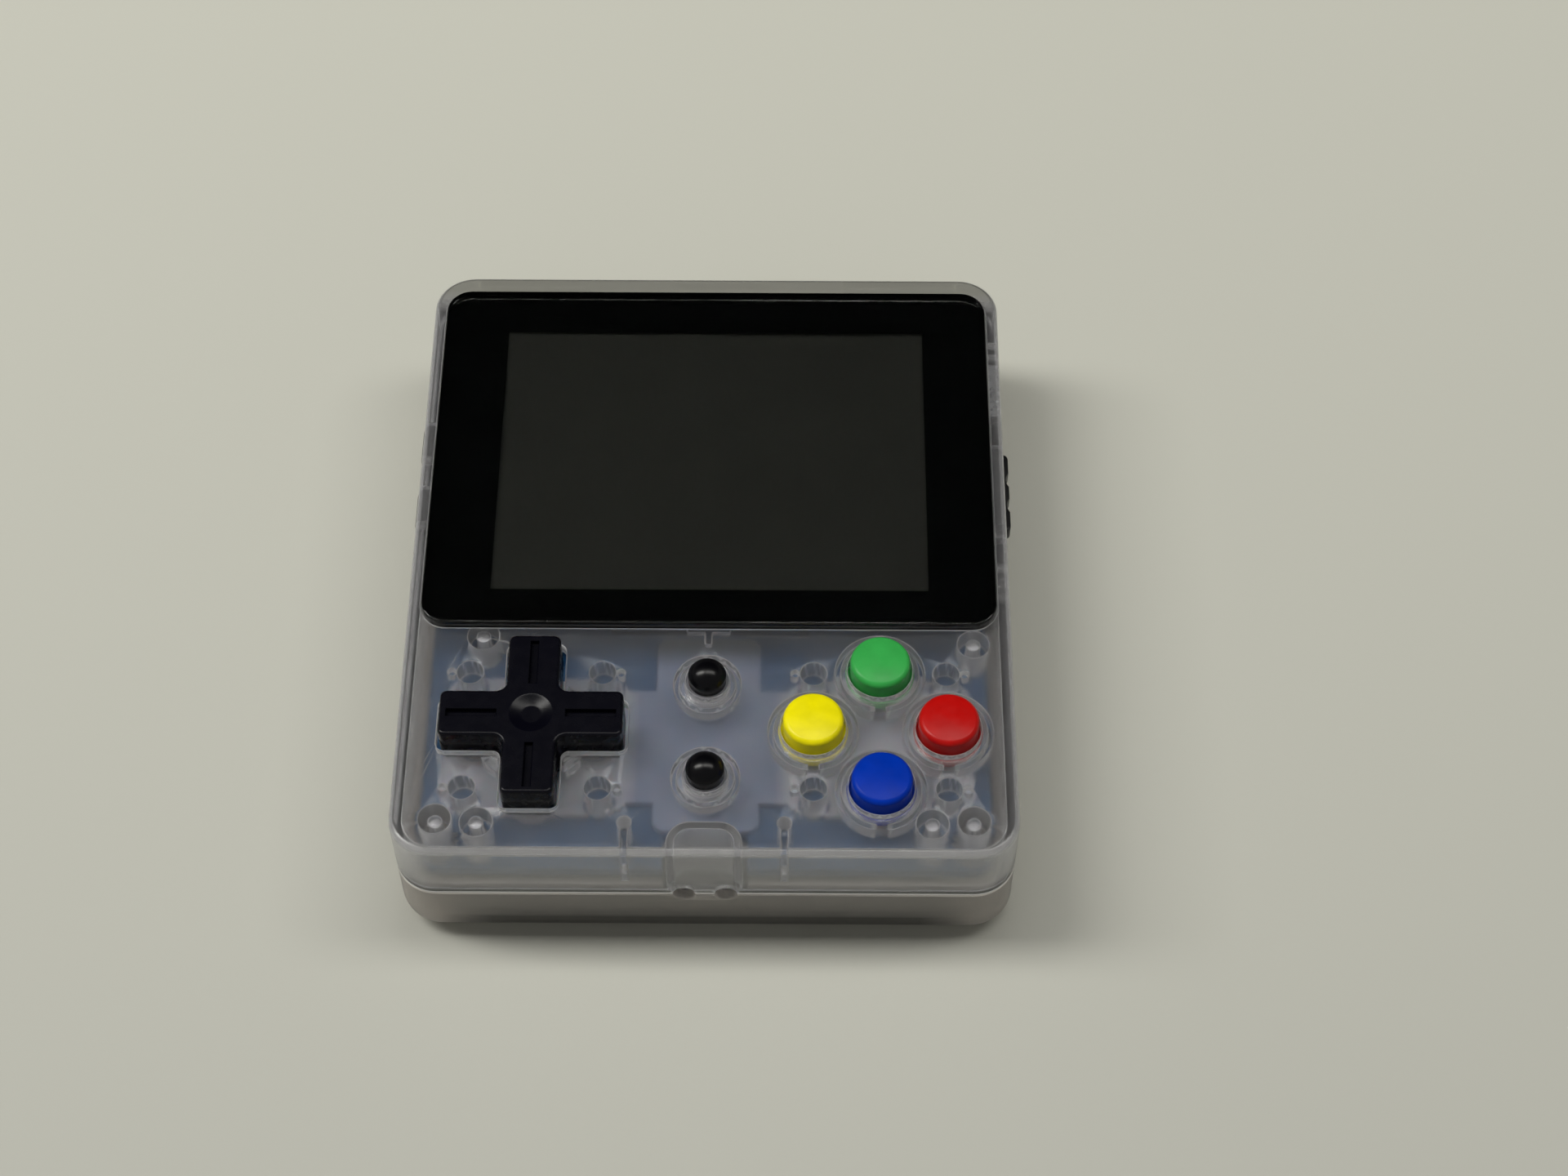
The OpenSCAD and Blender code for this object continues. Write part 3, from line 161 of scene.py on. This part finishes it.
class Finish:
    """A procedural material. Its patterns lie in the frame's own coordinates, in metres."""

    def __init__(self, name, color, roughness, **inputs):
        self.material = bpy.data.materials.new(name)
        self.material.use_nodes = True
        self.tree = self.material.node_tree
        self.shader = self.tree.nodes["Principled BSDF"]
        self.shader.inputs["Base Color"].default_value = (*color, 1)
        self.shader.inputs["Roughness"].default_value = roughness
        for socket, value in inputs.items():
            self.shader.inputs[socket.replace("_", " ")].default_value = value

    def add(self, kind, **settings):
        node = self.tree.nodes.new(kind)
        for name, value in settings.items():
            setattr(node, name, value)
        return node

    def link(self, source, target):
        self.tree.links.new(source, target)

    def math(self, operation, *terms):
        """The output of a Math node whose terms are numbers or outputs."""
        return self.operate("ShaderNodeMath", operation, terms, "Value")

    def vector(self, operation, *terms):
        return self.operate("ShaderNodeVectorMath", operation, terms, "Vector")

    def operate(self, kind, operation, terms, output):
        node = self.add(kind, operation=operation)
        for socket, term in zip(node.inputs, terms):
            if isinstance(term, bpy.types.NodeSocket):
                self.link(term, socket)
            else:
                socket.default_value = term
        return node.outputs[output]

    def place(self, stretch=(1, 1, 1)):
        """The frame's coordinates, stretched."""
        source = self.add("ShaderNodeTexCoord")
        mapping = self.add("ShaderNodeMapping")
        mapping.inputs["Scale"].default_value = stretch
        self.link(source.outputs["Object"], mapping.inputs["Vector"])
        return mapping.outputs["Vector"]

    def axes(self, source):
        """The X, Y and Z outputs of a vector."""
        node = self.add("ShaderNodeSeparateXYZ")
        self.link(source, node.inputs["Vector"])
        return node.outputs

    def noise(self, size, detail=3.0, stretch=(1, 1, 1)):
        """Cloudy noise whose patches are about size millimetres wide."""
        node = self.add("ShaderNodeTexNoise")
        node.inputs["Scale"].default_value = 1 / (size * MM)
        node.inputs["Detail"].default_value = detail
        self.link(self.place(stretch), node.inputs["Vector"])
        return node.outputs["Fac"]

    def spread(self, factor, low, high, start=0.35, end=0.65):
        """A number that runs from low to high as the factor runs from start to end."""
        node = self.add("ShaderNodeMapRange")
        for socket, value in zip(RANGE, (start, end, low, high)):
            node.inputs[socket].default_value = value
        self.link(factor, node.inputs["Value"])
        return node.outputs["Result"]

    def ramp(self, factor, stops):
        """A level that runs through stops, each a position and a level."""
        node = self.add("ShaderNodeValToRGB")
        elements = node.color_ramp.elements
        for _ in stops[2:]:
            elements.new(0.5)
        for element, (position, level) in zip(elements, stops):
            element.position = position
            element.color = (level, level, level, 1)
        self.link(factor, node.inputs["Fac"])
        return node.outputs["Color"]

    def blend(self, factor, first, second):
        """A colour between two colours. Each is a colour or an output."""
        node = self.add("ShaderNodeMix", data_type="RGBA")
        self.link(factor, node.inputs[0])
        for index, colour in ((MIX_FIRST, first), (MIX_SECOND, second)):
            if isinstance(colour, tuple):
                node.inputs[index].default_value = (*colour, 1)
            else:
                self.link(colour, node.inputs[index])
        return node.outputs[MIX_RESULT]

    def paint(self, colour):
        self.link(colour, self.shader.inputs["Base Color"])
        return self

    def roughen(self, size, low, high):
        self.link(self.spread(self.noise(size), low, high), self.shader.inputs["Roughness"])
        return self

    def bump(self, height, depth, strength=1.0):
        """Relief, depth in millimetres."""
        node = self.add("ShaderNodeBump")
        node.inputs["Distance"].default_value = depth * MM
        node.inputs["Strength"].default_value = strength
        self.link(height, node.inputs["Height"])
        self.link(node.outputs["Normal"], self.shader.inputs["Normal"])
        return self

    def dress(self, *names):
        """Gives this finish to CAD nodes, or to the eased pieces that stand for them."""
        for name in names:
            materials = shown.get(name, nodes[name]).data.materials
            materials.clear()
            materials.append(self.material)


def shaded(colour, share):
    return tuple(c * share for c in colour)


# How milky the frosted plastic is, by how far a face leans: upright, rounded edges, flat.
# The case's walls are looked through lengthwise from above, so their tops are milkier,
# most of all the rim behind the lens. The extra milk on rounded edges and wall tops is
# partly painted light: it stands in for the light that the real edges gather.
INNER_MILK = ((0.0, 0.32), (0.12, 0.6), (0.6, 0.6), (0.93, 0.35), (1.0, 0.03))
WALL_MILK = ((0.0, 0.07), (0.15, 0.22), (0.5, 0.28), (0.93, 0.2), (1.0, 0.06))
RIM_MILK = ((0.0, 0.04), (0.15, 0.15), (0.5, 0.2), (0.93, 0.25), (1.0, 0.5))
# Painted shade: a darker grey on the rim's top faces behind the lens.
RIM_SHADE_COLOUR = (0.40, 0.40, 0.355)
RIM_BACK = (6.0, 2.4)       # from the case's back, where the rim starts and where it is full
RIM_DROP = (3.0, 2.0)       # the same, from the deck down
RIM_LEAN = (0.7, 0.95)      # the same, by how far a face leans
SHADE_BAND_Z = 3.1                # middle of the band of painted shade low on the case's front and back
SHADE_BAND_H = (1.2, 1.9)         # half its height, where it is full and where it ends
SHADE_BAND_IN = (11.0, 5.0)       # from the case's sides, where it is full and where it ends
SHADE_BAND_SHARE = 0.2            # of the colour, in that band of painted shade
PARTING_HIGHLIGHT_MILK = 0.95            # at the parting line: a painted highlight along its lip
PARTING_HIGHLIGHT_W = (0.28, 0.42)       # half its width, where it is full and where it ends
CORNER_R = 5.0
WALL_IN = (1.55, 1.2)       # from the case's sides, where the wall starts and where it is full
FROST_VARIES = 0.04


def frosted(name, colour, roughness):
    """Frosted clear plastic, milkier at its edges and along its walls, partly as painted light,
    with a painted highlight at the parting line, painted shade on the rim's top behind the lens
    and a band of painted shade low on its front and back.
    """
    finish = Finish(name, colour, roughness, IOR=1.5)
    math = finish.math
    normal = finish.axes(finish.add("ShaderNodeNewGeometry").outputs["Normal"])
    lean = math("ABSOLUTE", normal["Z"])

    place = finish.place()
    low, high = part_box("front_shell")
    middle, half = (low + high) / 2, (high - low) / 2
    inset = CORNER_R * MM
    across = finish.vector("SUBTRACT", place, (middle.x, middle.y, 0))
    across = finish.vector("MULTIPLY", across, (1, 1, 0))
    across = finish.vector("ABSOLUTE", across, (0, 0, 0))
    across = finish.vector("SUBTRACT", across, (half.x - inset, half.y - inset, 0))
    across = finish.vector("MAXIMUM", across, (0, 0, 0))
    reach = finish.add("ShaderNodeVectorMath", operation="LENGTH")
    finish.link(across, reach.inputs[0])
    wall = finish.spread(reach.outputs["Value"], 0, 1, *(inset - d * MM for d in WALL_IN))

    at = finish.axes(place)
    # Painted highlight: a milky white strip along the parting line.
    off_line = math("ABSOLUTE", math("SUBTRACT", at["Z"], SPLIT_Z * MM))
    line = finish.spread(off_line, PARTING_HIGHLIGHT_MILK, 0, *(d * MM for d in PARTING_HIGHLIGHT_W))
    rim = math("MULTIPLY",
               finish.spread(at["Y"], 0, 1, *(high.y - d * MM for d in RIM_BACK)),
               finish.spread(at["Z"], 0, 1, *((DECK_Z - d) * MM for d in RIM_DROP)))
    # Partly painted light: milkier rounded edges and wall tops stand in for the light they
    # gather.
    body = finish.blend(wall, finish.ramp(lean, INNER_MILK), finish.ramp(lean, WALL_MILK))
    body = finish.blend(rim, body, finish.ramp(lean, RIM_MILK))
    milk = math("MAXIMUM", body, line)
    # Painted shade on the rim's top faces behind the lens.
    top = math("MULTIPLY", rim, finish.spread(lean, 0, 1, *RIM_LEAN))
    painted = finish.blend(top, colour, RIM_SHADE_COLOUR)
    # Painted shade: a darker band low on the case's front and back.
    off_shade_band = math("ABSOLUTE", math("SUBTRACT", at["Z"], SHADE_BAND_Z * MM))
    off_middle = math("ABSOLUTE", math("SUBTRACT", at["X"], middle.x))
    base = math("MULTIPLY",
                finish.spread(off_shade_band, 1, 0, *(d * MM for d in SHADE_BAND_H)),
                finish.spread(off_middle, 1, 0, *(half.x - d * MM for d in SHADE_BAND_IN)))
    finish.paint(finish.blend(base, painted, shaded(colour, SHADE_BAND_SHARE)))
    finish.link(math("SUBTRACT", 1.0, milk), finish.shader.inputs["Transmission Weight"])
    finish.roughen(9, roughness - FROST_VARIES, roughness + FROST_VARIES)
    return finish.bump(finish.noise(0.35, 2), 0.002, 0.3)


FLOW_SHADE = 0.88
RUBBER_SHADE = 0.8


def moulded(name, colour, roughness, gloss=0.5, patchy=0.055):
    """Satin plastic with a slight orange peel and faint flow marks in its colour."""
    finish = Finish(name, colour, roughness, Specular_IOR_Level=gloss)
    flow = finish.spread(finish.noise(2.5), 0, 1)
    finish.paint(finish.blend(flow, shaded(colour, FLOW_SHADE), colour))
    finish.roughen(1.5, roughness - patchy, roughness + patchy)
    return finish.bump(finish.noise(0.5, 2), 0.006, 0.4)


def lens_glass():
    """Clear cover of the display, with faint wipe marks in its gloss."""
    finish = Finish("lens_glass", (0.92, 0.93, 0.92), 0.03, Transmission_Weight=1.0, IOR=1.49)
    return finish.roughen(14, 0.015, 0.05)


DISPLAY_GREYS = ((0.0175, 0.018, 0.015), (0.0205, 0.021, 0.0175))


def display():
    """Unlit display: dark grey polariser with a faint grain."""
    finish = Finish("display", DISPLAY_GREYS[0], 0.4, Specular_IOR_Level=0.3)
    return finish.paint(finish.blend(finish.spread(finish.noise(0.4, 4), 0, 1), *DISPLAY_GREYS))


def mask_ink():
    """Dead black print."""
    finish = Finish("mask_ink", (0.0012, 0.0018, 0.0016), 0.5, Specular_IOR_Level=0.02)
    return finish.roughen(6, 0.45, 0.55)


SHEET_MENU = ((0.20, 0.245, 0.365), (0.245, 0.29, 0.41))   # the lobe with the menu keys
SHEET_SIDES = ((0.41, 0.43, 0.51), (0.52, 0.53, 0.57))     # the lobes at its sides
SHEET_RAISED = (0.46, 0.48, 0.51)
SHEET_LENS_SHADOW = (0.10, 0.13, 0.17)                          # painted shadow of the lens, on the sheet beside it
SIDES_X = (8.0, 10.0)       # where the menu lobe ends and where the sides are full
RAISED_Z = (14.3, 15.2)     # where the raised parts start and where they are full
LENS_SHADOW_Y = (3.0, 0.0)       # the same for the painted lens shadow, from the lens's near edge


def silicone():
    """Milky rubber: bluish where the sheet is thin, paler where it stands up in rings, with the
    lens's shadow painted beside the lens.
    """
    finish = Finish("silicone", SHEET_RAISED, 0.55, Subsurface_Weight=0.3,
                    Subsurface_Scale=0.002)
    at = finish.axes(finish.place())
    cloud = finish.spread(finish.noise(5), 0, 1)
    side = finish.spread(finish.math("ABSOLUTE", at["X"]), 0, 1, *(d * MM for d in SIDES_X))
    thin = finish.blend(side, finish.blend(cloud, *SHEET_MENU), finish.blend(cloud, *SHEET_SIDES))
    raised = finish.spread(at["Z"], 0, 1, *(d * MM for d in RAISED_Z))
    lens_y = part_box("screen_lens")[0].y
    # Painted shadow of the lens on the sheet just in front of it.
    lens_shadow = finish.spread(at["Y"], 0, 1, *(lens_y - d * MM for d in LENS_SHADOW_Y))
    finish.paint(finish.blend(lens_shadow, finish.blend(raised, thin, SHEET_RAISED), SHEET_LENS_SHADOW))
    return finish.bump(finish.noise(0.4, 2), 0.01, 0.4)


BOARD_BLUES = ((0.005, 0.058, 0.16), (0.012, 0.105, 0.25))  # bare, and over copper
TRACKS = {"Scale": 260, "Mortar Size": 0.012, "Color1": (0, 0, 0, 1),
          "Color2": (0.25, 0.25, 0.25, 1), "Mortar": (1, 1, 1, 1)}


def circuit_board():
    """Blue solder mask over copper tracks, with the glass weave faint beneath."""
    finish = Finish("circuit_board", BOARD_BLUES[1], 0.4)
    tracks = finish.add("ShaderNodeTexBrick")
    for socket, value in TRACKS.items():
        tracks.inputs[socket].default_value = value
    finish.link(finish.place(), tracks.inputs["Vector"])
    finish.paint(finish.blend(tracks.outputs["Color"], *BOARD_BLUES))
    return finish.bump(finish.noise(0.3, 2), 0.01, 0.5)


def brushed(name, colour, roughness, stretch):
    """Metal with fine brush marks along the stretched axis."""
    finish = Finish(name, colour, roughness, Metallic=1.0)
    finish.roughen(0.6, roughness - 0.08, roughness + 0.12)
    return finish.bump(finish.noise(0.5, 3, stretch), 0.003, 0.5)


def rubber(name, colour):
    """Dull rubber or foam, a little cloudy."""
    finish = Finish(name, colour, 0.7)
    cloud = finish.spread(finish.noise(1.2), 0, 1)
    finish.paint(finish.blend(cloud, shaded(colour, RUBBER_SHADE), colour))
    return finish.bump(finish.noise(0.2, 3), 0.01, 0.6)


CAP_BLACK = (0.002, 0.002, 0.003)
CAP_FOOT = (0.42, 0.42, 0.45)
CAP_ROUGHNESS = (0.6, 0.24)  # of the foot and of the cap
CAP_DROP = (0.25, 0.15)      # from the deck down, where the cap starts and where it is full


def menu_cap():
    """Glossy black cap on a milky rubber base."""
    finish = Finish("menu_cap", CAP_BLACK, CAP_ROUGHNESS[1], Specular_IOR_Level=0.25)
    at = finish.axes(finish.place())
    cap = finish.spread(at["Z"], 0, 1, *((DECK_Z - d) * MM for d in CAP_DROP))
    finish.paint(finish.blend(cap, CAP_FOOT, CAP_BLACK))
    finish.link(finish.spread(cap, *CAP_ROUGHNESS, 0, 1), finish.shader.inputs["Roughness"])
    return finish.bump(finish.noise(0.8, 2), 0.002, 0.3)


MOULDED = {  # colour, roughness, gloss, then the nodes that are made of it
    "light_guide": ((0.75, 0.76, 0.78), 0.4, 0.5, "lcd_backlight"),
    "flex_cover": ((0.015, 0.03, 0.05), 0.4, 0.5, "lcd_flex"),
    "ivory": ((0.75, 0.70, 0.55), 0.45, 0.5, "lcd_connector"),
    "green_plastic": ((0.042, 0.42, 0.082), 0.33, 0.22, "green_button"),
    "yellow_plastic": ((0.97, 0.86, 0.001), 0.33, 0.22, "yellow_button"),
    "red_plastic": ((0.52, 0.004, 0.003), 0.33, 0.22, "red_button"),
    "blue_plastic": ((0.0002, 0.034, 0.43), 0.36, 0.1, "blue_button"),
    "side_black": ((0.005, 0.005, 0.006), 0.42, 0.3, "power_slider", "volume_up_key",
                   "volume_down_key", "left_shoulder", "right_shoulder", "memory_card",
                   "audio_jack", "led_holder", "contact_block"),
    "chip_black": ((0.02, 0.02, 0.022), 0.5, 0.5, "processor", "memory_chip", "audio_amplifier",
                   "power_inductor"),
    "speaker_black": ((0.03, 0.03, 0.032), 0.45, 0.5, "speaker"),
    "battery_wrap": ((0.05, 0.12, 0.28), 0.35, 0.5, "battery_pack"),
}
BRUSHED = {  # colour, roughness, stretch of the marks, then the nodes
    "tinned_steel": ((0.60, 0.61, 0.62), 0.3, (1, 12, 1), "power_switch", "volume_switches",
                     "shoulder_switches", "usb_port", "card_slot", "crystal"),
    "screw_steel": ((0.50, 0.50, 0.52), 0.35, (1, 1, 1), "case_screws", "board_screws"),
    "gold_plate": ((0.80, 0.56, 0.20), 0.3, (1, 12, 1), "battery_springs"),
    "can_aluminium": ((0.70, 0.71, 0.72), 0.3, (1, 12, 1), "capacitors"),
}
RUBBER = {  # colour, then the nodes
    "foam": ((0.03, 0.03, 0.032), "lens_tape", "lcd_pads"),
    "key_rubber": ((0.30, 0.31, 0.34), "green_key", "yellow_key", "red_key", "blue_key",
                   "start_key", "select_key", "dpad_side_keys", "dpad_end_keys"),
}


def dress_nodes():
    frosted("frosted_front", (0.93, 0.93, 0.95), 0.22).dress("front_shell")
    frosted("frosted_rear", (0.86, 0.815, 0.785), 0.33).dress("rear_shell", "battery_door")
    lens_glass().dress("screen_lens")
    display().dress("lcd_glass")
    circuit_board().dress("main_board")
    silicone().dress("button_sheet")
    menu_cap().dress("start_button", "select_button")
    for name, (colour, roughness, gloss, *made_of_it) in MOULDED.items():
        moulded(name, colour, roughness, gloss).dress(*made_of_it)
    for name, (colour, roughness, stretch, *made_of_it) in BRUSHED.items():
        brushed(name, colour, roughness, stretch).dress(*made_of_it)
    for name, (colour, *made_of_it) in RUBBER.items():
        rubber(name, colour).dress(*made_of_it)


# ---- Pieces of the scene's own ----

ACTIVE = (52.8, 39.6)       # of the display's lit area
ACTIVE_Y = 13.5
ACTIVE_R = 0.01
LENS_R = 3.0
MASK_INSET = 0.06           # of the ink, from the lens's sides
MASK_DROP = 0.3             # of the ink on the lens's sides, from its top
MASK_GAP = 0.012            # between the lens and the ink below it


def arc(x, y, r, start, end, steps=5):
    """Points round x, y from one angle to another, in degrees."""
    return [(x + r * cos(radians(start + (end - start) * k / steps)),
             y + r * sin(radians(start + (end - start) * k / steps))) for k in range(steps + 1)]


def rounded(half_w, half_l, r, mid_y):
    """Outline of a rounded rectangle."""
    ring = []
    for k, (x, y) in enumerate(((1, 1), (-1, 1), (-1, -1), (1, -1))):
        ring += arc(x * (half_w - r), mid_y + y * (half_l - r), r, 90 * k, 90 * k + 90)
    return ring


def mesh_piece(name, build, material, body="console"):
    """A new piece whose mesh build(bm) draws in millimetres."""
    bm = bmesh.new()
    build(bm)
    bmesh.ops.scale(bm, vec=(MM, MM, MM), verts=bm.verts)
    piece = add_mesh(name, bm)
    piece.data.materials.append(material)
    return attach(piece, body)


def skin(bm, rings, at=(0, 0)):
    """Quads between rings, each a list of points and a height. Gives back the vertices."""
    rows = [[bm.verts.new((x + at[0], y + at[1], z)) for x, y in ring] for ring, z in rings]
    for a, b in zip(rows, rows[1:]):
        for k in range(len(a)):
            n = (k + 1) % len(a)
            bm.faces.new((a[k], a[n], b[n], b[k]))
    return rows


def loft(bm, rings, at):
    """Skin through closed rings, with its two ends closed."""
    rows = skin(bm, rings, at)
    bm.faces.new(rows[0][::-1])
    bm.faces.new(rows[-1])


def add_lens_mask():
    """Black ink printed under the lens, with a window for the display."""
    low, high = (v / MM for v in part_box("screen_lens"))
    half_w, half_l = (high.x - low.x) / 2 - MASK_INSET, (high.y - low.y) / 2 - MASK_INSET
    outline = rounded(half_w, half_l, LENS_R, (low.y + high.y) / 2)
    window = rounded(ACTIVE[0] / 2, ACTIVE[1] / 2, ACTIVE_R, ACTIVE_Y)
    z = low.z - MASK_GAP

    def build(bm):
        rings = ((outline, high.z - MASK_DROP), (outline, z), (window, z))
        skin(bm, rings)

    mesh_piece("lens_mask", build, mask_ink().material)


PAD_AT = (-20.3, -25.4)
PAD_HALF = 10.7             # half of its span
PAD_ARM = 3.05              # half the width of an arm
PAD_END_R = 0.8
PAD_INNER_R = 1.2
PAD_EDGE_R = 0.4
PAD_EDGE_STEPS = 6
PAD_TOP = 22.4
PAD_BOTTOM = 16.6
PAD_FLANGE = (5.6, 0.75)    # radius and height
PAD_FLANGE_EDGE = 0.1
PAD_NUB_R = 1.2
PAD_NUB_ANGLES = (-85, 19)  # from its foot to its side
PAD_NUB_STEPS = 10
PAD_DISH = ((1.05, 0.5), (1.2, 0.48), (1.4, 0.43), (2.3, 0.12), (2.5, 0.03))  # radius, depth
PAD_DISH_R = 2.7
PAD_GROOVE = ((4.0, 9.9), 0.5, 0.8)  # from and to along an arm, half width, depth
GROOVE_FOOT = ((-0.14, 0), (-0.04, 0.1))              # how far it widens, by height over its foot
GROOVE_RIM = ((0, -0.06), (0.08, 0.02), (0.08, 1))    # the same over the pad's top
CUT_LIP, CUT_OVER = 0.02, 1                           # heights of a cutter over the pad's top
PAD_SHARP = radians(40)
QUARTERS = ((1, 0), (0, 1), (-1, 0), (0, -1))         # cosine and sine of each quarter turn


def turned(points, c, s):
    return [(x * c - y * s, x * s + y * c) for x, y in points]


def cross_ring(inset):
    """Outline of the cross, inset by a distance: round ends and round inner corners."""
    half, arm = PAD_HALF - inset, PAD_ARM - inset
    end, inner = PAD_END_R - inset, PAD_INNER_R + inset
    quarter = (arc(half - end, arm - end, end, 0, 90)
               + arc(arm + inner, arm + inner, inner, 270, 180)
               + arc(arm - end, half - end, end, 0, 90))
    return [point for c, s in QUARTERS for point in turned(quarter, c, s)]


def circle(r, steps=64):
    return [(r * cos(2 * pi * k / steps), r * sin(2 * pi * k / steps)) for k in range(steps)]


def pad_cutters(bm):
    """Dish in the middle of the pad and a groove along each arm, all with eased rims."""
    rings = [(circle(r), PAD_TOP - depth) for r, depth in PAD_DISH]
    rings += [(circle(PAD_DISH_R), PAD_TOP + over) for over in (CUT_LIP, CUT_OVER)]
    loft(bm, rings, PAD_AT)
    (start, stop), half, depth = PAD_GROOVE
    sides = [(grow, z - depth) for grow, z in GROOVE_FOOT] + list(GROOVE_RIM)
    for c, s in QUARTERS:
        rings = []
        for grow, z in sides:
            box = [(start - grow, -half - grow), (stop + grow, -half - grow),
                   (stop + grow, half + grow), (start - grow, half + grow)]
            rings.append((turned(box, c, s), PAD_TOP + z))
        loft(bm, rings, PAD_AT)


def add_dpad():
    """The direction pad, rounded all along its cross, with its dish and its grooves."""

    def build(bm):
        steps = [(PAD_EDGE_R * (1 - cos(a)), PAD_TOP - PAD_EDGE_R * (1 - sin(a)))
                 for a in (pi / 2 * k / PAD_EDGE_STEPS for k in range(PAD_EDGE_STEPS + 1))]
        loft(bm, [(cross_ring(0), PAD_BOTTOM)] + [(cross_ring(i), z) for i, z in steps], PAD_AT)

    def build_base(bm):
        (r, h), edge = PAD_FLANGE, PAD_FLANGE_EDGE
        loft(bm, [(circle(r - edge), PAD_BOTTOM), (circle(r), PAD_BOTTOM + edge),
                  (circle(r), PAD_BOTTOM + h - edge), (circle(r - edge), PAD_BOTTOM + h)], PAD_AT)
        nub_z = PAD_BOTTOM - PAD_NUB_R / 3
        foot, side = PAD_NUB_ANGLES
        angles = [radians(foot + (side - foot) * k / PAD_NUB_STEPS)
                  for k in range(PAD_NUB_STEPS + 1)]
        loft(bm, [(circle(PAD_NUB_R * cos(a), 32), nub_z + PAD_NUB_R * sin(a)) for a in angles],
             PAD_AT)

    finish = moulded("pad_black", (0.002, 0.002, 0.005), 0.27, 0.18, 0.015).material
    pad = mesh_piece("dpad_cross", build, finish, "dpad")
    base = mesh_piece("dpad_base", build_base, finish, "dpad")
    cutter = mesh_piece("dpad_cutter", pad_cutters, finish, "dpad")
    cut = pad.modifiers.new("cut", "BOOLEAN")
    cut.object = cutter
    cut.solver = "EXACT"
    graph = bpy.context.evaluated_depsgraph_get()
    mesh = bpy.data.meshes.new_from_object(pad.evaluated_get(graph))
    pad.modifiers.clear()
    pad.data = mesh
    bpy.data.objects.remove(cutter)
    for piece in (pad, base):
        for face in piece.data.polygons:
            face.use_smooth = True
        piece.data.set_sharp_from_angle(angle=PAD_SHARP)
        even_normals(piece)
        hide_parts("dpad")


# ---- Floor and light ----

FLOOR_FALLOFF_COLOURS = ((0.51, 0.513, 0.465), (0.65, 0.652, 0.575))  # near and far: painted light falloff, darker towards the camera
FLOOR_FALLOFF_Y = (-0.12, 0.2)      # metres, where the near colour ends and the far one starts
FLOOR_SIZE = 3
FLOOR_DROP = 0.05           # millimetres below the case
LAMP_COLOUR = (1.0, 0.985, 0.94)
PANELS = (("panel_left", -0.72, 6.7), ("panel_middle", -0.30, 2.4), ("panel_right", 0.36, 3.6))
PANEL_SIZE = (0.26, 0.8)
PANEL_Y = 0.1
PANEL_HEIGHT = 1.0
ROOM_COLOUR = (1.0, 0.99, 0.95)
DIM_DIRECTION = Vector((0, 0.6, 0.8))
DIM_LEVELS = (0.3, 0.8, 0.21, 0.003)  # from and to cosine, then strength outside and inside


def add_floor():
    """Pale paper, a little darker towards the camera: painted light falloff."""
    finish = Finish("floor_paper", FLOOR_FALLOFF_COLOURS[1], 0.75)
    # Painted light falloff: the paper's colour darkens towards the camera.
    far = finish.spread(finish.axes(finish.place())["Y"], 0, 1, *FLOOR_FALLOFF_Y)
    finish.paint(finish.blend(far, *FLOOR_FALLOFF_COLOURS))
    finish.bump(finish.noise(1.5, 4), 0.03, 0.5)
    bpy.ops.mesh.primitive_plane_add(size=FLOOR_SIZE, location=(0, 0, -FLOOR_DROP * MM))
    floor = bpy.context.object
    floor.name = "floor"
    floor.data.materials.append(finish.material)


def add_panel(name, x, power):
    """Soft panel of light above, turned towards the line below the panels' middle."""
    light = bpy.data.lights.new(name, "AREA")
    light.shape = "RECTANGLE"
    light.size, light.size_y = PANEL_SIZE
    light.energy = power
    light.color = LAMP_COLOUR
    lamp = bpy.data.objects.new(name, light)
    lamp.location = (x, PANEL_Y, PANEL_HEIGHT)
    aim = Vector((0, PANEL_Y, 0)) - lamp.location
    lamp.rotation_euler = aim.to_track_quat("-Z", "Y").to_euler()
    bpy.context.scene.collection.objects.link(lamp)


def add_room():
    """Even pale surroundings with a dim patch behind the object, which keeps the lens black."""
    world = bpy.data.worlds.new("room")
    world.use_nodes = True
    tree = world.node_tree
    direction = tree.nodes.new("ShaderNodeTexCoord").outputs["Generated"]
    along = tree.nodes.new("ShaderNodeVectorMath")
    along.operation = "DOT_PRODUCT"
    along.inputs[1].default_value = DIM_DIRECTION
    tree.links.new(direction, along.inputs[0])
    level = tree.nodes.new("ShaderNodeMapRange")
    level.interpolation_type = "SMOOTHSTEP"
    for socket, value in zip(RANGE, DIM_LEVELS):
        level.inputs[socket].default_value = value
    tree.links.new(along.outputs["Value"], level.inputs["Value"])
    background = tree.nodes["Background"]
    background.inputs["Color"].default_value = (*ROOM_COLOUR, 1)
    tree.links.new(level.outputs["Result"], background.inputs["Strength"])
    bpy.context.scene.world = world


add_camera()
for node, edge in EASED.items():
    ease(node, edge)
dress_nodes()
add_lens_mask()
add_dpad()
add_floor()
for panel in PANELS:
    add_panel(*panel)
add_room()
bpy.context.scene.view_settings.view_transform = "Standard"
